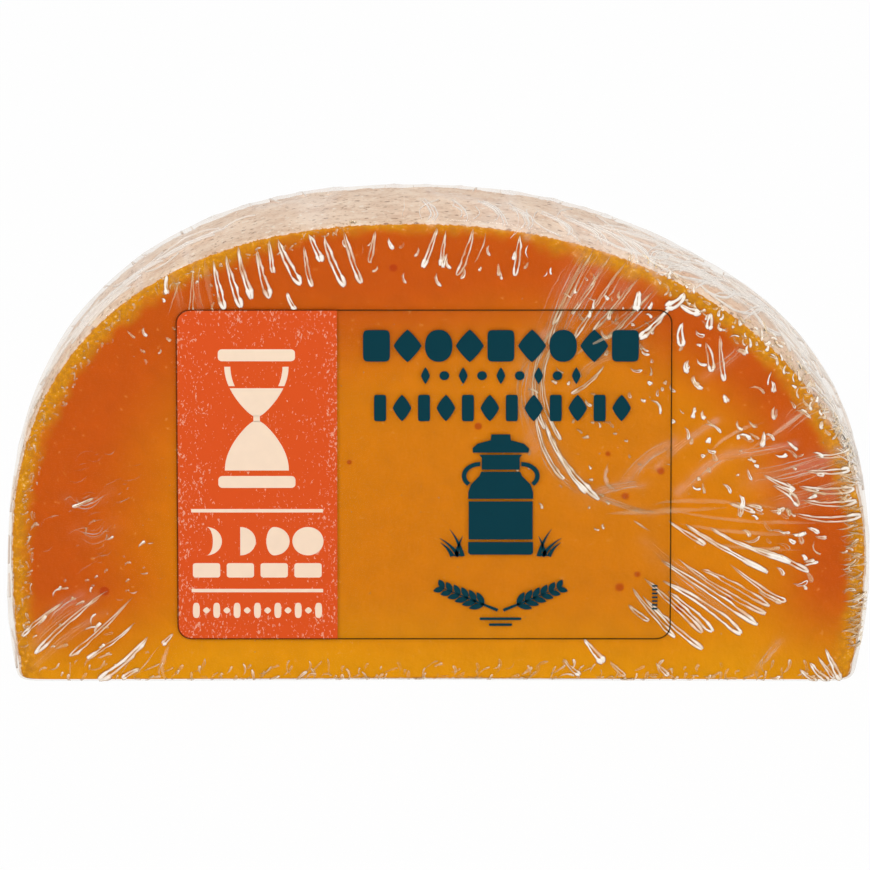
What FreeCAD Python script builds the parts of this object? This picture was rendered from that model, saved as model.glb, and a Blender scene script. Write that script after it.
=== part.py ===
"""A half-moon slab of mimolette in stretch film, with its front label.

The cheese is cut from the middle of a ripened ball, a little squashed and fuller on one shoulder:
a flat front cut through the ball's middle, a flat back cut, and a flat cut below the widest level,
on which the slab stands. The rind between the two cuts falls away towards the back. The film is
tight on the cuts and on the crown, and stands off the rind as shallow tents on the shoulders and
sides. A thin label lies on the film in front.

Frame: +Z up, +X to the right of the front cut, front cut facing -Y. The origin is at the middle of
the pack's footprint. Lengths are in millimetres and angles in degrees.
"""

import FreeCAD, Part
import Sketcher
import math
import os

SIZES = [
    # alias, value, what it is
    ("face_left", 87.7, "half-width of the front cut, crown to left side"),
    ("face_right", 97.3, "half-width of the front cut, crown to right side"),
    ("crown_rise", 79.4, "height of the crown above the widest level"),
    ("cut_drop", 28.6, "depth of the standing cut below the widest level"),
    ("lower_reach", 101.0, "half-height of the ball's lower half, which sets how the sides draw in"),
    ("left_fullness", 2.34, "exponent of the left shoulder, where 2 is an ellipse"),
    ("right_fullness", 2.07, "exponent of the right shoulder"),
    ("slab_depth", 25.0, "front cut to back cut"),
    ("ball_radius", 92.5, "radius of the ball seen from above, by which the rind falls away"),
    ("crown_fullness", 2.2, "exponent by which the crown falls away towards the back"),
    ("cut_edge_round", 1.2, "rounding of the cut edges under the film"),
    ("film_wall", 0.3, "film with the air under it, on the front, the rind and the foot"),
    ("film_back_wall", 0.5, "film folded over itself on the back"),
    ("left_tent", 1.3, "stand-off of the film over the left shoulder"),
    ("left_tent_at", 143.0, "direction of the left tent, from +X"),
    ("right_tent", 3.4, "stand-off of the film over the right shoulder"),
    ("right_tent_at", 31.0, "direction of the right tent"),
    ("tent_spread", 35.0, "half the angle that a shoulder tent covers"),
    ("side_tent", 1.4, "stand-off of the film at both sides, low down"),
    ("side_tent_drop", 14.0, "how far below level the side tents lie"),
    ("side_tent_spread", 26.0, "half the angle that a side tent covers"),
    ("label_width", 106.6, "width of the label"),
    ("label_height", 77.8, "height of the label"),
    ("label_corner", 3.2, "corner radius of the label"),
    ("label_wall", 0.2, "thickness of the label"),
    ("label_shift", -3.1, "middle of the label from the middle of the pack"),
    ("label_foot", 10.3, "lower edge of the label above the standing face"),
]

# How the formulas below are turned into curves and lofts. Each outline starts and ends at the
# bottom of the ball, so that the seam of the surface is on the part that is cut away.
OUTLINE_POINTS = 24
OUTLINE_START = 270
BELT_STEPS = 4
BELT_MARGIN = 4.0


def make_sheet(doc):
    """The driving dimensions, one row each, with the alias in words."""
    sheet = doc.addObject("Spreadsheet::Sheet", "Sizes")
    for row, (alias, value, words) in enumerate(SIZES, start=1):
        sheet.set(f"A{row}", words)
        sheet.set(f"B{row}", str(value))
        sheet.setAlias(f"B{row}", alias)
    doc.recompute()
    return sheet


def signed_power(base, exponent):
    """|base| to the exponent, with the sign of base."""
    return math.copysign(abs(base) ** exponent, base)


def width_share(sheet, depth):
    """Width of the ball at a depth behind its middle, as a share: a circle seen from above."""
    return math.sqrt(1 - (depth / sheet.ball_radius) ** 2)


def height_share(sheet, depth):
    """Height of the ball at a depth behind its middle, as a share."""
    fall = (abs(depth) / sheet.ball_radius) ** sheet.crown_fullness
    return (1 - fall) ** (1 / sheet.crown_fullness)


def widest_level(sheet):
    """Height of the widest level above the surface that the pack stands on."""
    return sheet.film_wall + sheet.cut_drop


def crown_axis(sheet):
    """X of the crown, so that the front cut is centred on the origin."""
    return (sheet.face_left - sheet.face_right) / 2


def tent(sheet, angle, depth):
    """Stand-off of the film from the rind: a cosine hump round each tent's direction,
    highest halfway between the cuts and nothing at the cuts."""
    side = sheet.side_tent_drop
    humps = [
        (sheet.left_tent, sheet.left_tent_at, sheet.tent_spread),
        (sheet.right_tent, sheet.right_tent_at, sheet.tent_spread),
        (sheet.side_tent, 180 + side, sheet.side_tent_spread),
        (sheet.side_tent, 360 - side, sheet.side_tent_spread),
    ]
    along = math.sin(math.pi * min(max(depth / sheet.slab_depth, 0), 1))
    total = 0.0
    for height, at, spread in humps:
        away = abs((angle - at + 180) % 360 - 180)
        if away < spread:
            total += height * (1 + math.cos(math.pi * away / spread)) / 2
    return total * along


def belt_section(sheet, depth, clearance):
    """The ball's outline at a depth, as a closed curve, moved outwards by clearance(angle).

    Each quarter is a superellipse, |x/a|^n + |z/b|^n = 1. The left and right halves have their own
    a and n, the upper and lower halves their own b, and all meet with a common tangent.
    """
    across = width_share(sheet, depth)
    up = height_share(sheet, depth)
    points = []
    for step in range(OUTLINE_POINTS):
        angle = (OUTLINE_START + 360 * step / OUTLINE_POINTS) % 360
        level, rise = math.cos(math.radians(angle)), math.sin(math.radians(angle))
        a = (sheet.face_left if level < 0 else sheet.face_right) * across
        b = (sheet.lower_reach if rise < 0 else sheet.crown_rise) * up
        n = sheet.left_fullness if level < 0 else sheet.right_fullness
        reach = (abs(level / a) ** n + abs(rise / b) ** n) ** (-1 / n)
        x, z = reach * level, reach * rise
        slope = FreeCAD.Vector(signed_power(x / a, n - 1) / a, 0, signed_power(z / b, n - 1) / b)
        slope.normalize()
        out = FreeCAD.Vector(x, 0, z) + slope * clearance(angle)
        y = depth - sheet.slab_depth / 2
        points.append(out + FreeCAD.Vector(crown_axis(sheet), y, widest_level(sheet)))
    curve = Part.BSplineCurve()
    even = [float(step) for step in range(OUTLINE_POINTS + 1)]
    curve.interpolate(Points=points, PeriodicFlag=True, Parameters=even)
    return Part.Wire(curve.toShape())


def make_belt(doc, sheet, name, stand_off):
    """The belt of the ball that the slab is cut from, a little deeper than the slab."""
    reach = sheet.slab_depth + 2 * BELT_MARGIN
    sections = []
    for step in range(BELT_STEPS + 1):
        depth = reach * step / BELT_STEPS - BELT_MARGIN
        sections.append(belt_section(sheet, depth, lambda angle, d=depth: stand_off(angle, d)))
    belt = doc.addObject("Part::Feature", name)
    belt.Shape = Part.makeLoft(sections, True, False)
    return belt


def make_knives(doc, name, front, back, foot):
    """The block between the three knife cuts. Each argument is the expression of a plane."""
    block = doc.addObject("Part::Box", name)
    block.setExpression("Length", "2 * (Sizes.face_left + Sizes.face_right)")
    block.setExpression("Width", f"({back}) - ({front})")
    block.setExpression("Height", "2 * (Sizes.crown_rise + Sizes.cut_drop)")
    block.setExpression(".Placement.Base.x", "-(Sizes.face_left + Sizes.face_right)")
    block.setExpression(".Placement.Base.y", front)
    block.setExpression(".Placement.Base.z", foot)
    return block


def cut_slab(doc, name, belt, block):
    """What the knives leave of the belt."""
    slab = doc.addObject("Part::Common", name)
    slab.Base = belt
    slab.Tool = block
    doc.recompute()
    return slab


def round_edges(doc, name, slab, radius):
    """Rounds every edge of the slab."""
    rounded = doc.addObject("Part::Fillet", name)
    rounded.Base = slab
    rounded.Edges = [(i + 1, radius, radius) for i in range(len(slab.Shape.Edges))]
    doc.recompute()
    return rounded


def make_cheese(doc, sheet):
    """The slab of cheese, rind and all, in one piece."""
    belt = make_belt(doc, sheet, "BallBelt", lambda angle, depth: 0.0)
    block = make_knives(
        doc, "CheeseKnives", "-Sizes.slab_depth / 2", "Sizes.slab_depth / 2", "Sizes.film_wall"
    )
    slab = cut_slab(doc, "CheeseSlab", belt, block)
    cheese = round_edges(doc, "Cheese", slab, sheet.cut_edge_round)
    cheese.Label = "cheese"
    return cheese


def make_film(doc, sheet, cheese):
    """The film round the cheese, out to its tents, less the cheese itself."""
    belt = make_belt(
        doc, sheet, "FilmBelt", lambda angle, depth: sheet.film_wall + tent(sheet, angle, depth)
    )
    block = make_knives(
        doc,
        "FilmKnives",
        "-Sizes.slab_depth / 2 - Sizes.film_wall",
        "Sizes.slab_depth / 2 + Sizes.film_back_wall",
        "0 mm",
    )
    slab = cut_slab(doc, "FilmSlab", belt, block)
    outer = round_edges(doc, "FilmOuter", slab, sheet.cut_edge_round + sheet.film_wall)
    film = doc.addObject("Part::Cut", "Film")
    film.Base = outer
    film.Tool = cheese
    film.Label = "film"
    doc.recompute()
    return film


def make_label(doc, sheet):
    """The label: a rectangle drawn on the front plane, padded towards the buyer, corners rounded."""
    body = doc.addObject("PartDesign::Body", "Label")
    body.Label = "label"
    body.setExpression(".Placement.Base.x", "Sizes.label_shift")
    body.setExpression(".Placement.Base.y", "-Sizes.slab_depth / 2 - Sizes.film_wall")
    body.setExpression(".Placement.Base.z", "Sizes.label_foot")
    sketch = body.newObject("Sketcher::SketchObject", "LabelOutline")
    front = [plane for plane in body.Origin.OriginFeatures if plane.Role == "XZ_Plane"][0]
    sketch.AttachmentSupport = [(front, "")]
    sketch.MapMode = "FlatFace"
    draw_rectangle(sketch, sheet.label_width, sheet.label_height)
    pad = body.newObject("PartDesign::Pad", "LabelPad")
    pad.Profile = sketch
    pad.setExpression("Length", "Sizes.label_wall")
    doc.recompute()
    rounds = body.newObject("PartDesign::Fillet", "LabelCorners")
    rounds.Base = (pad, through_edges(pad.Shape))
    rounds.setExpression("Radius", "Sizes.label_corner")
    body.Tip = rounds
    doc.recompute()
    return body


def draw_rectangle(sketch, width, height):
    """A rectangle that stands on the sketch's X axis, centred on its Y axis.

    Its width and height are bound to the sheet."""
    right = width / 2
    corners = [(-right, 0), (right, 0), (right, height), (-right, height)]
    lines = []
    for index, start in enumerate(corners):
        end = corners[(index + 1) % len(corners)]
        segment = Part.LineSegment(FreeCAD.Vector(*start, 0), FreeCAD.Vector(*end, 0))
        lines.append(sketch.addGeometry(segment))
    for index, line in enumerate(lines):
        following = lines[(index + 1) % len(lines)]
        sketch.addConstraint(Sketcher.Constraint("Coincident", line, 2, following, 1))
    foot, right_side, top, left_side = lines
    axis_x, axis_y = -1, -2
    sketch.addConstraint(Sketcher.Constraint("Vertical", right_side))
    sketch.addConstraint(Sketcher.Constraint("Horizontal", top))
    sketch.addConstraint(Sketcher.Constraint("Vertical", left_side))
    sketch.addConstraint(Sketcher.Constraint("Symmetric", foot, 1, foot, 2, axis_y))
    sketch.addConstraint(Sketcher.Constraint("PointOnObject", foot, 1, axis_x))
    across = sketch.addConstraint(Sketcher.Constraint("DistanceX", foot, 1, foot, 2, width))
    upwards = sketch.addConstraint(
        Sketcher.Constraint("DistanceY", right_side, 1, right_side, 2, height)
    )
    sketch.setExpression(f"Constraints[{across}]", "Sizes.label_width")
    sketch.setExpression(f"Constraints[{upwards}]", "Sizes.label_height")


def through_edges(shape):
    """Names of the edges that run through a flat plate from front to back."""
    names = []
    for number, edge in enumerate(shape.Edges, start=1):
        first, last = edge.Vertexes[0].Point, edge.Vertexes[-1].Point
        if abs(first.y - last.y) > abs(first.x - last.x) + abs(first.z - last.z):
            names.append(f"Edge{number}")
    return names


def check(doc, parts):
    """Stops the build on a failed object or a bad solid."""
    for thing in doc.Objects:
        if "Invalid" in thing.State or "Error" in thing.State:
            raise RuntimeError(f"{thing.Name} failed: {thing.State}")
    for part in parts:
        if part.Shape.isNull() or not part.Shape.isValid() or not part.Shape.Solids:
            raise RuntimeError(f"{part.Label} has no sound solid")


def main():
    doc = FreeCAD.newDocument("MimoletteSlab")
    sheet = make_sheet(doc)
    cheese = make_cheese(doc, sheet)
    film = make_film(doc, sheet, cheese)
    label = make_label(doc, sheet)
    doc.recompute()
    parts = [cheese, film, label]
    check(doc, parts)
    os.makedirs("parts", exist_ok=True)
    for part in parts:
        part.Shape.exportStep(f"parts/{part.Label}.step")
        box = part.Shape.optimalBoundingBox()
        print(
            f"{part.Label}: {part.Shape.Volume / 1000:.1f} ml,"
            f" {box.XLength:.2f} x {box.YLength:.2f} x {box.ZLength:.2f} mm,"
            f" z {box.ZMin:.2f} to {box.ZMax:.2f}"
        )


main()
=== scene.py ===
"""Looks of the half-moon slab of mimolette in stretch film.

Each operator makes one piece as a surface computed on a grid, in the row's frame: +X to the right
of the front cut, +Y from the front cut to the back cut, +Z up, origin in the middle of the
footprint. Sizes are in millimetres until a mesh or a material is made, and the stage is in metres.
"""

import math

import bpy
import numpy as np
from bpy.props import FloatProperty, FloatVectorProperty, IntProperty, PointerProperty
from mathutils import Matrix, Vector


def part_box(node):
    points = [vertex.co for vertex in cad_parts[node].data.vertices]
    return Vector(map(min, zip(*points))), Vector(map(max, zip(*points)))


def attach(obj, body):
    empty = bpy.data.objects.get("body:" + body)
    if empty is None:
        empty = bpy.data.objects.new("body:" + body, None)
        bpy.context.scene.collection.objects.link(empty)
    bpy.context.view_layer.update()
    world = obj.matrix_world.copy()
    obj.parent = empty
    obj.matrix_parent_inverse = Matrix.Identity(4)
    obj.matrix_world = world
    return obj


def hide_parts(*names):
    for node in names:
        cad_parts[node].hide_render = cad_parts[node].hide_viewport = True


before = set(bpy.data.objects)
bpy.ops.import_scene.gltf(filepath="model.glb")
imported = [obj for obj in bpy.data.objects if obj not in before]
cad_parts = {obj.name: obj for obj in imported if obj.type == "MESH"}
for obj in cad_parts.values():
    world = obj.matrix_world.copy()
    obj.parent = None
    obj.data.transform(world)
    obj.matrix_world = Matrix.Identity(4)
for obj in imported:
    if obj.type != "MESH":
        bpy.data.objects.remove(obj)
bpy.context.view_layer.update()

bl_info = {
    "name": "Mimolette slab",
    "version": (1, 0, 0),
    "blender": (4, 5, 0),
    "location": "View3D > Sidebar > Slab",
    "description": "A wrapped half-moon slab of mimolette with its label",
    "category": "Add Mesh",
}

MM = 0.001
CHEESE = np.array(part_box("cheese")) / MM
FILM = np.array(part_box("film")) / MM
LABEL = np.array(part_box("label")) / MM
TAU = 2 * math.pi
LOOP_GAP = 0.15  # a crease with a smaller gap is a single line
INK = 0.03  # how proud of the label its ink stands
PANEL = 0.02  # how proud of the label its opaque panel stands


# ---- Sizes and colours ----


def number(name, default, description):
    """A plain number. A length is a number of millimetres."""
    return FloatProperty(name=name, description=description, default=default)


def share(name, default, description):
    """A number from nothing to all."""
    return FloatProperty(
        name=name, description=description, default=default, min=0.0, max=1.0, subtype="FACTOR"
    )


def linear(hex_code):
    """sRGB hex to linear: c/12.92 in the darkest part, ((c + 0.055)/1.055)^2.4 above it."""
    values = [int(hex_code[i : i + 2], 16) / 255 for i in (0, 2, 4)]
    return [v / 12.92 if v <= 0.04045 else ((v + 0.055) / 1.055) ** 2.4 for v in values]


def paint(name, hex_code, description):
    """A colour given as an sRGB hex code and stored as linear light."""
    plain = {"name": name, "description": description, "subtype": "COLOR"}
    return FloatVectorProperty(default=linear(hex_code), size=3, min=0.0, max=1.0, **plain)


class SlabShape(bpy.types.PropertyGroup):
    """The ball that the slab is cut from, and the slab."""

    face_left: number("Left half", 87.7, "Half-width of the front cut, crown to left side, mm")
    face_right: number("Right half", 97.3, "Half-width of the front cut, crown to right side, mm")
    crown_rise: number("Crown rise", 79.4, "Height of the crown above the widest level, mm")
    cut_drop: number("Cut drop", 28.6, "Depth of the standing cut below the widest level, mm")
    lower_reach: number("Lower reach", 101.0, "Half-height of the ball's lower half, mm")
    left_fullness: number("Left fullness", 2.34, "Exponent of the left shoulder")
    right_fullness: number("Right fullness", 2.07, "Exponent of the right shoulder")
    ball_radius: number("Ball radius", 92.5, "Radius of the ball seen from above, mm")
    edge_round: number("Edge round", 1.2, "Rounding of the cut edges, mm")
    crumble: number("Crumble", 0.8, "How deep the rind's edge is broken away, mm")
    rind_relief: number("Rind relief", 0.35, "How uneven the rind is, mm")
    around: IntProperty(name="Around", description="Grid steps round the slab", default=760)


class SlabColours(bpy.types.PropertyGroup):
    """Colours of the cheese, from the rind inwards."""

    rind: paint("Rind", "F4DDC8", "Dry rind")
    rind_shade: paint("Rind shade", "DDBCA3", "Rind in its hollows")
    rind_pit: paint("Rind pits", "8E6247", "Pits in the rind")
    rind_dust: paint("Rind dust", "FAF1E5", "Pale dust on the rind")
    rind_grit: paint("Rind grit", "B59379", "Dark grit on the rind")
    crumb: paint("Crumbs", "CE861D", "Hollows between the crumbs of the edge")
    edge: paint("Edge", "E39B12", "Paste just under the rind")
    bloom: paint("Bloom", "F6CE81", "Pale tops of the crumbs")
    dry: paint("Dry zone", "CD590C", "Paste that has dried and darkened behind the edge")
    heart: paint("Heart", "E18604", "Paste in the middle")
    foot: paint("Foot", "EBA408", "Paste along the standing cut")
    crystal: paint("Crystals", "EDAD59", "Small pale crystals in the paste")
    spot: paint("Spots", "B8360C", "Small red spots in the paste")


class FilmShape(bpy.types.PropertyGroup):
    """The stretch film and how it stands off."""

    left_tent: number("Left tent", 0.8, "Stand-off over the left shoulder, mm")
    right_tent: number("Right tent", 2.8, "Stand-off over the right shoulder, mm")
    side_tent: number("Side tents", 1.4, "Stand-off at both sides, low down, mm")
    pleat: number("Pleats", 0.16, "Height of the pleats that cross the rind, mm")
    gather: number("Gathers", 0.7, "Height of the folds gathered on the back, mm")
    haze: share("Haze", 0.10, "How milky a single layer looks where it stands off")
    crease_gloss: share("Crease gloss", 0.45, "How strongly a crease mirrors at its steep flanks")


class LabelDesign(bpy.types.PropertyGroup):
    """The label's panel and inks."""

    panel_width: number("Panel width", 34.6, "Width of the opaque panel at the left, mm")
    corner: number("Corner", 3.2, "Corner radius, mm")
    hairline: number("Hairline", 0.28, "Width of the cut edge's dark line, mm")
    panel: paint("Panel", "E0551F", "Opaque panel")
    cream: paint("Cream", "FFE6CC", "Cream ink and the bare marks in the panel")
    teal: paint("Teal", "003A46", "Dark ink on the clear part")


class StageSettings(bpy.types.PropertyGroup):
    """Floor, lamps and camera."""

    camera_height: FloatProperty(
        name="Elevation", description="Camera above level", default=math.radians(24), subtype="ANGLE"
    )
    distance: number("Distance", 4000.0, "Camera to the middle of the pack, mm")
    frame_width: number("Frame width", 187.8, "Width seen at the middle of the pack, mm")
    sky: share("Sky", 0.47, "Light from all round")
    key: number("Key", 11.4, "Power of the soft lamp above the camera, W")


# ---- Numbers and meshes ----


def ease(t):
    """3t^2 - 2t^3, held at 0 and 1 outside."""
    t = np.clip(t, 0, 1)
    return t * t * (3 - 2 * t)


def noise(points, cell, seed, octaves=2):
    """Value noise from -1 to 1: random numbers on a cubic lattice of the given cell, blended
    between corners with 3t^2 - 2t^3. Each further octave has half the cell and half the height."""
    lattice = np.random.default_rng(seed).uniform(-1, 1, (32, 32, 32))
    total, height, size = 0.0, 1.0, cell
    for octave in range(octaves):
        q = points / size + 7.31 * (octave + 1)
        base = np.floor(q).astype(int)
        t = ease(q - base)
        value = 0.0
        for corner in np.ndindex(2, 2, 2):
            weight = np.prod(np.where(corner, t, 1 - t), axis=-1)
            i, j, k = np.moveaxis((base + corner) % 32, -1, 0)
            value = value + weight * lattice[i, j, k]
        total = total + height * value
        height, size = height / 2, size / 2
    return total / (2 - 2.0 ** (1 - octaves))


def unit(vectors):
    """Vectors of length 1 in the same directions."""
    return vectors / np.maximum(np.linalg.norm(vectors, axis=-1, keepdims=True), 1e-9)


def facing(degrees):
    """Cosine and sine of an angle in degrees."""
    return math.cos(math.radians(degrees)), math.sin(math.radians(degrees))


def mesh_piece(name, points, faces, material, slot, nodes=(), attributes=(), smooth=True):
    """A piece from points in millimetres, at the origin, riding on the body. Film casts no shadow,
    because the light that it turns aside comes out again."""
    mesh = bpy.data.meshes.new(name)
    points = np.asarray(points, dtype=np.float32) * MM
    faces = [np.asarray(part, dtype=np.int32) for part in faces if len(part)]
    mesh.vertices.add(len(points))
    mesh.vertices.foreach_set("co", points.ravel())
    corners = np.concatenate([part.ravel() for part in faces])
    sizes = np.concatenate([np.full(len(part), part.shape[1]) for part in faces])
    mesh.loops.add(len(corners))
    mesh.loops.foreach_set("vertex_index", corners)
    mesh.polygons.add(len(sizes))
    starts = np.concatenate([[0], np.cumsum(sizes)[:-1]]).astype(np.int32)
    mesh.polygons.foreach_set("loop_start", starts)
    mesh.polygons.foreach_set("use_smooth", np.full(len(sizes), smooth))
    mesh.update(calc_edges=True)
    for label, values in attributes:
        layer = mesh.attributes.new(label, "FLOAT", "POINT")
        layer.data.foreach_set("value", np.asarray(values, dtype=np.float32).ravel())
    mesh.validate()
    mesh.materials.append(material)
    piece = bpy.data.objects.new(name, mesh)
    bpy.context.scene.collection.objects.link(piece)
    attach(piece, "root")
    if nodes:
        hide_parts(*nodes)
    piece.visible_shadow = slot != "film"


def skin(rows, columns):
    """Quads and triangles of rows of points, each row closed round its columns, with a pole before
    the first row and one after the last. The poles' numbers follow the other points'."""
    i, j = np.mgrid[0 : rows - 1, 0:columns]
    after = (j + 1) % columns
    below = (i + 1) * columns
    quads = np.stack([i * columns + j, below + j, below + after, i * columns + after], -1)
    j, after = np.arange(columns), (np.arange(columns) + 1) % columns
    pole = np.full(columns, rows * columns)
    last = (rows - 1) * columns
    start = np.stack([pole, j, after], -1)
    end = np.stack([pole + 1, last + after, last + j], -1)
    return quads.reshape(-1, 4), np.concatenate([start, end])


def closed_grid(grid):
    """Points and faces of a surface closed round its columns and by a pole at both ends. grid is
    rows x columns x 3. Each pole is the middle of its row."""
    points = np.concatenate([grid.reshape(-1, 3), grid[:1].mean(1), grid[-1:].mean(1)])
    return points, list(skin(*grid.shape[:2]))


def outward(grid):
    """Unit normals of a grid closed round its columns, from the cross product of its slopes."""
    across = np.roll(grid, -1, axis=1) - np.roll(grid, 1, axis=1)
    return unit(np.cross(np.gradient(grid, axis=0), across))


def many(grids):
    """Points and faces of a stack of like tubes: tubes x rings x corners x 3, each closed round its
    corners and at both ends by a point in the middle of its end ring."""
    tubes, rings, corners, _ = grids.shape
    ends = np.stack([grids[:, 0].mean(1), grids[:, -1].mean(1)], 1)
    points = np.concatenate([grids.reshape(tubes, -1, 3), ends], axis=1)
    quads, triangles = skin(rings, corners)
    step = (np.arange(tubes) * points.shape[1])[:, None, None]
    return points.reshape(-1, 3), [
        (quads[None, :, [0, 3, 2, 1]] + step).reshape(-1, 4),
        (triangles[None, :, [0, 2, 1]] + step).reshape(-1, 3),
    ]


def join(parts):
    """Several (points, faces) as one."""
    points, quads, triangles, start = [], [], [], 0
    for part_points, part_faces in parts:
        points.append(part_points)
        for faces in part_faces:
            (quads if faces.shape[1] == 4 else triangles).append(faces + start)
        start += len(part_points)
    out = [np.concatenate(group) for group in (quads, triangles) if group]
    return np.concatenate(points), out


# ---- The shape that cheese and film share ----


class Slab:
    """The slab's surface as rows from the middle of the front cut, over its edge, along the rind
    and over the back edge to the middle of the back cut. Columns run round the outline, starting
    under the crown, evenly by length. The gaps are how far it lies outside the cheese. rows is how
    many there are on the front cut, on each rounded edge, on the rind and on the back cut."""

    def __init__(self, shape, gap_front, gap_rind, gap_back, gap_foot, rows):
        self.shape = shape
        self.front = CHEESE[0, 1] - gap_front
        self.back = CHEESE[1, 1] + gap_back
        self.middle = CHEESE[0, 1]
        self.level = CHEESE[0, 2] + shape.cut_drop
        self.axis = (shape.face_left - shape.face_right) / 2
        self.foot = shape.cut_drop + gap_foot
        self.gap = gap_rind
        self.round = shape.edge_round + gap_rind
        self.theta = self.even_directions(shape.around)
        self.lay_rows(*rows)

    def halves(self, left, below):
        """Half-width, half-height and exponent of the quarter of the outline that a point is in."""
        s = self.shape
        return (
            np.where(left, s.face_left, s.face_right),
            np.where(below, s.lower_reach, s.crown_rise),
            np.where(left, s.left_fullness, s.right_fullness),
        )

    def at(self, out, theta):
        """x and z of points at distances and directions from the crown axis."""
        return np.stack([self.axis + out * np.cos(theta), self.level + out * np.sin(theta)], -1)

    def reach(self, theta, depth):
        """Distance from the crown axis to the rind in a direction, at a depth: the superellipse
        |x/a|^n + |z/b|^n = 1, cut off flat below, with the corner blended by a 60th-power mean."""
        x, z = np.cos(theta), np.sin(theta)
        behind = np.clip(depth, 0, None) / self.shape.ball_radius
        across = np.sqrt(1 - behind**2)
        up = (1 - behind**2.2) ** (1 / 2.2)
        a, b, n = self.halves(x < 0, z < 0)
        a, b = a * across, b * up
        ball = (np.abs(x / a) ** n + np.abs(z / b) ** n) ** (-1 / n) + self.gap
        foot = self.foot / np.maximum(-z, 1e-4)
        return (ball**-60.0 + foot**-60.0) ** (-1 / 60)

    def even_directions(self, count):
        """Directions whose points on the outline are the same length apart."""
        theta = np.linspace(-math.pi / 2, 1.5 * math.pi, 20001)
        reach = self.reach(theta, 0.0)
        path = np.stack([reach * np.cos(theta), reach * np.sin(theta)], -1)
        run = np.concatenate([[0], np.cumsum(np.linalg.norm(np.diff(path, axis=0), axis=1))])
        return np.interp(np.arange(count) / count * run[-1], run, theta)

    def lay_rows(self, face_rows, edge_rows, rind_rows, back_rows):
        """share: how far out a row lies on a cut. inset: how far inside the rind. y: its depth.
        rind_weight: how much of it is rind. beyond: how far past the front edge it lies."""
        r = self.round
        turn = np.linspace(0, math.pi / 2, edge_rows)
        face = 1 - (np.linspace(1, 0, face_rows + 1)[1:-1]) ** 1.7
        rear = 1 - (np.linspace(0, 1, back_rows + 1)[1:-1]) ** 1.7
        depth = np.linspace(self.front + r, self.back - r, rind_rows + 2)[1:-1]
        inset, drop, weight = r * (1 - np.sin(turn)), r * (1 - np.cos(turn)), ease(turn / 1.2)
        stretches = (
            (face, r, self.front, 0.0),
            (1.0, inset, self.front + drop, weight),
            (1.0, 0.0, depth, 1.0),
            (1.0, inset[::-1], self.back - drop[::-1], weight[::-1]),
            (rear, r, self.back, 0.0),
        )
        columns = zip(*(np.broadcast_arrays(*stretch) for stretch in stretches))
        self.share, self.inset, self.y, self.rind_weight = map(np.concatenate, columns)
        edges = np.stack([self.y - self.front, -self.inset], -1)
        beyond = np.concatenate([[0], np.cumsum(np.linalg.norm(np.diff(edges, axis=0), axis=1))])
        self.back_rows = len(rear) + edge_rows
        self.beyond = beyond - beyond[len(face)]

    def grid(self, stand_off=None):
        """The surface as rows x columns x 3. stand_off(theta, along) moves the rind outwards, where
        along runs from 0 at the front cut to 1 at the back cut."""
        theta = self.theta[None, :]
        depth = (self.y - self.middle)[:, None]
        reach = self.reach(theta, depth)
        if stand_off is not None:
            along = np.clip(depth / (CHEESE[1, 1] - CHEESE[0, 1]), 0, 1)
            reach = reach + stand_off(theta, along) * self.rind_weight[:, None]
        flat = self.at((reach - self.inset[:, None]) * self.share[:, None], theta)
        y = np.broadcast_to(self.y[:, None], flat.shape[:2])
        return np.stack([flat[..., 0], y, flat[..., 1]], -1)

    def unrolled(self):
        """Where the grid's points lie when the rind is laid out flat round the front cut: x and z."""
        flat = self.reach(self.theta, self.front - self.middle) - self.round
        out = flat * self.share[:, None] + np.clip(self.beyond, 0, None)[:, None]
        return self.at(out, self.theta)

    def edge_distance(self):
        """How far each point of a cut lies inside the rind, nothing on the rind, and the rows and
        columns of the grid. Along the foot it is the distance to where the rind would be."""
        grid = self.grid()
        x, z = grid[..., 0] - self.axis, grid[..., 2] - self.level
        a, b, n = self.halves(x < 0, z < 0)
        x, z = np.abs(x) / a, np.abs(z) / b
        level = (x**n + z**n) ** (1 / n)
        slope = np.hypot(x ** (n - 1) / a, z ** (n - 1) / b)
        slope = slope / np.maximum(level, 0.05) ** (n - 1)
        distance = (1 - level) / np.maximum(slope, 1e-3)
        on_cut = self.rind_weight[:, None] < 0.5
        return np.where(on_cut, np.clip(distance, 0, 60), 0)

    def place(self, surface, x, z, back=False):
        """Points and normals where a path drawn on a cut lies. Where it runs past the edge it goes
        on over the rind by the same length. x and z are in the plane of the cut."""
        grid, normals = surface
        share, inset, y = self.share, self.inset, self.y
        if back:
            grid, normals = grid[::-1], normals[::-1]
            share, inset, y = share[::-1], inset[::-1], y[::-1]
        cut_rows = int(np.argmax(share == 1))
        steps = np.hypot(np.diff(y), np.diff(inset))
        beyond = np.concatenate([[0], np.cumsum(steps[cut_rows:])])
        theta = np.mod(np.arctan2(z - self.level, x - self.axis) + math.pi / 2, TAU) - math.pi / 2
        reach = np.hypot(x - self.axis, z - self.level)
        flat = self.reach(theta, y[0] - self.middle) - self.round
        ring = np.append(self.theta, self.theta[0] + TAU)
        column = np.interp(theta, ring, np.arange(len(ring)))
        on_cut = np.interp(reach / flat, share[: cut_rows + 1], np.arange(cut_rows + 1))
        past = np.interp(reach - flat, beyond, np.arange(len(beyond)))
        row = np.where(reach < flat, on_cut, cut_rows + past)
        i = np.clip(row.astype(int), 0, grid.shape[0] - 2)
        j = column.astype(int) % grid.shape[1]
        s, t = (row - i)[..., None], (column - np.floor(column))[..., None]
        k = (j + 1) % grid.shape[1]

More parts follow.
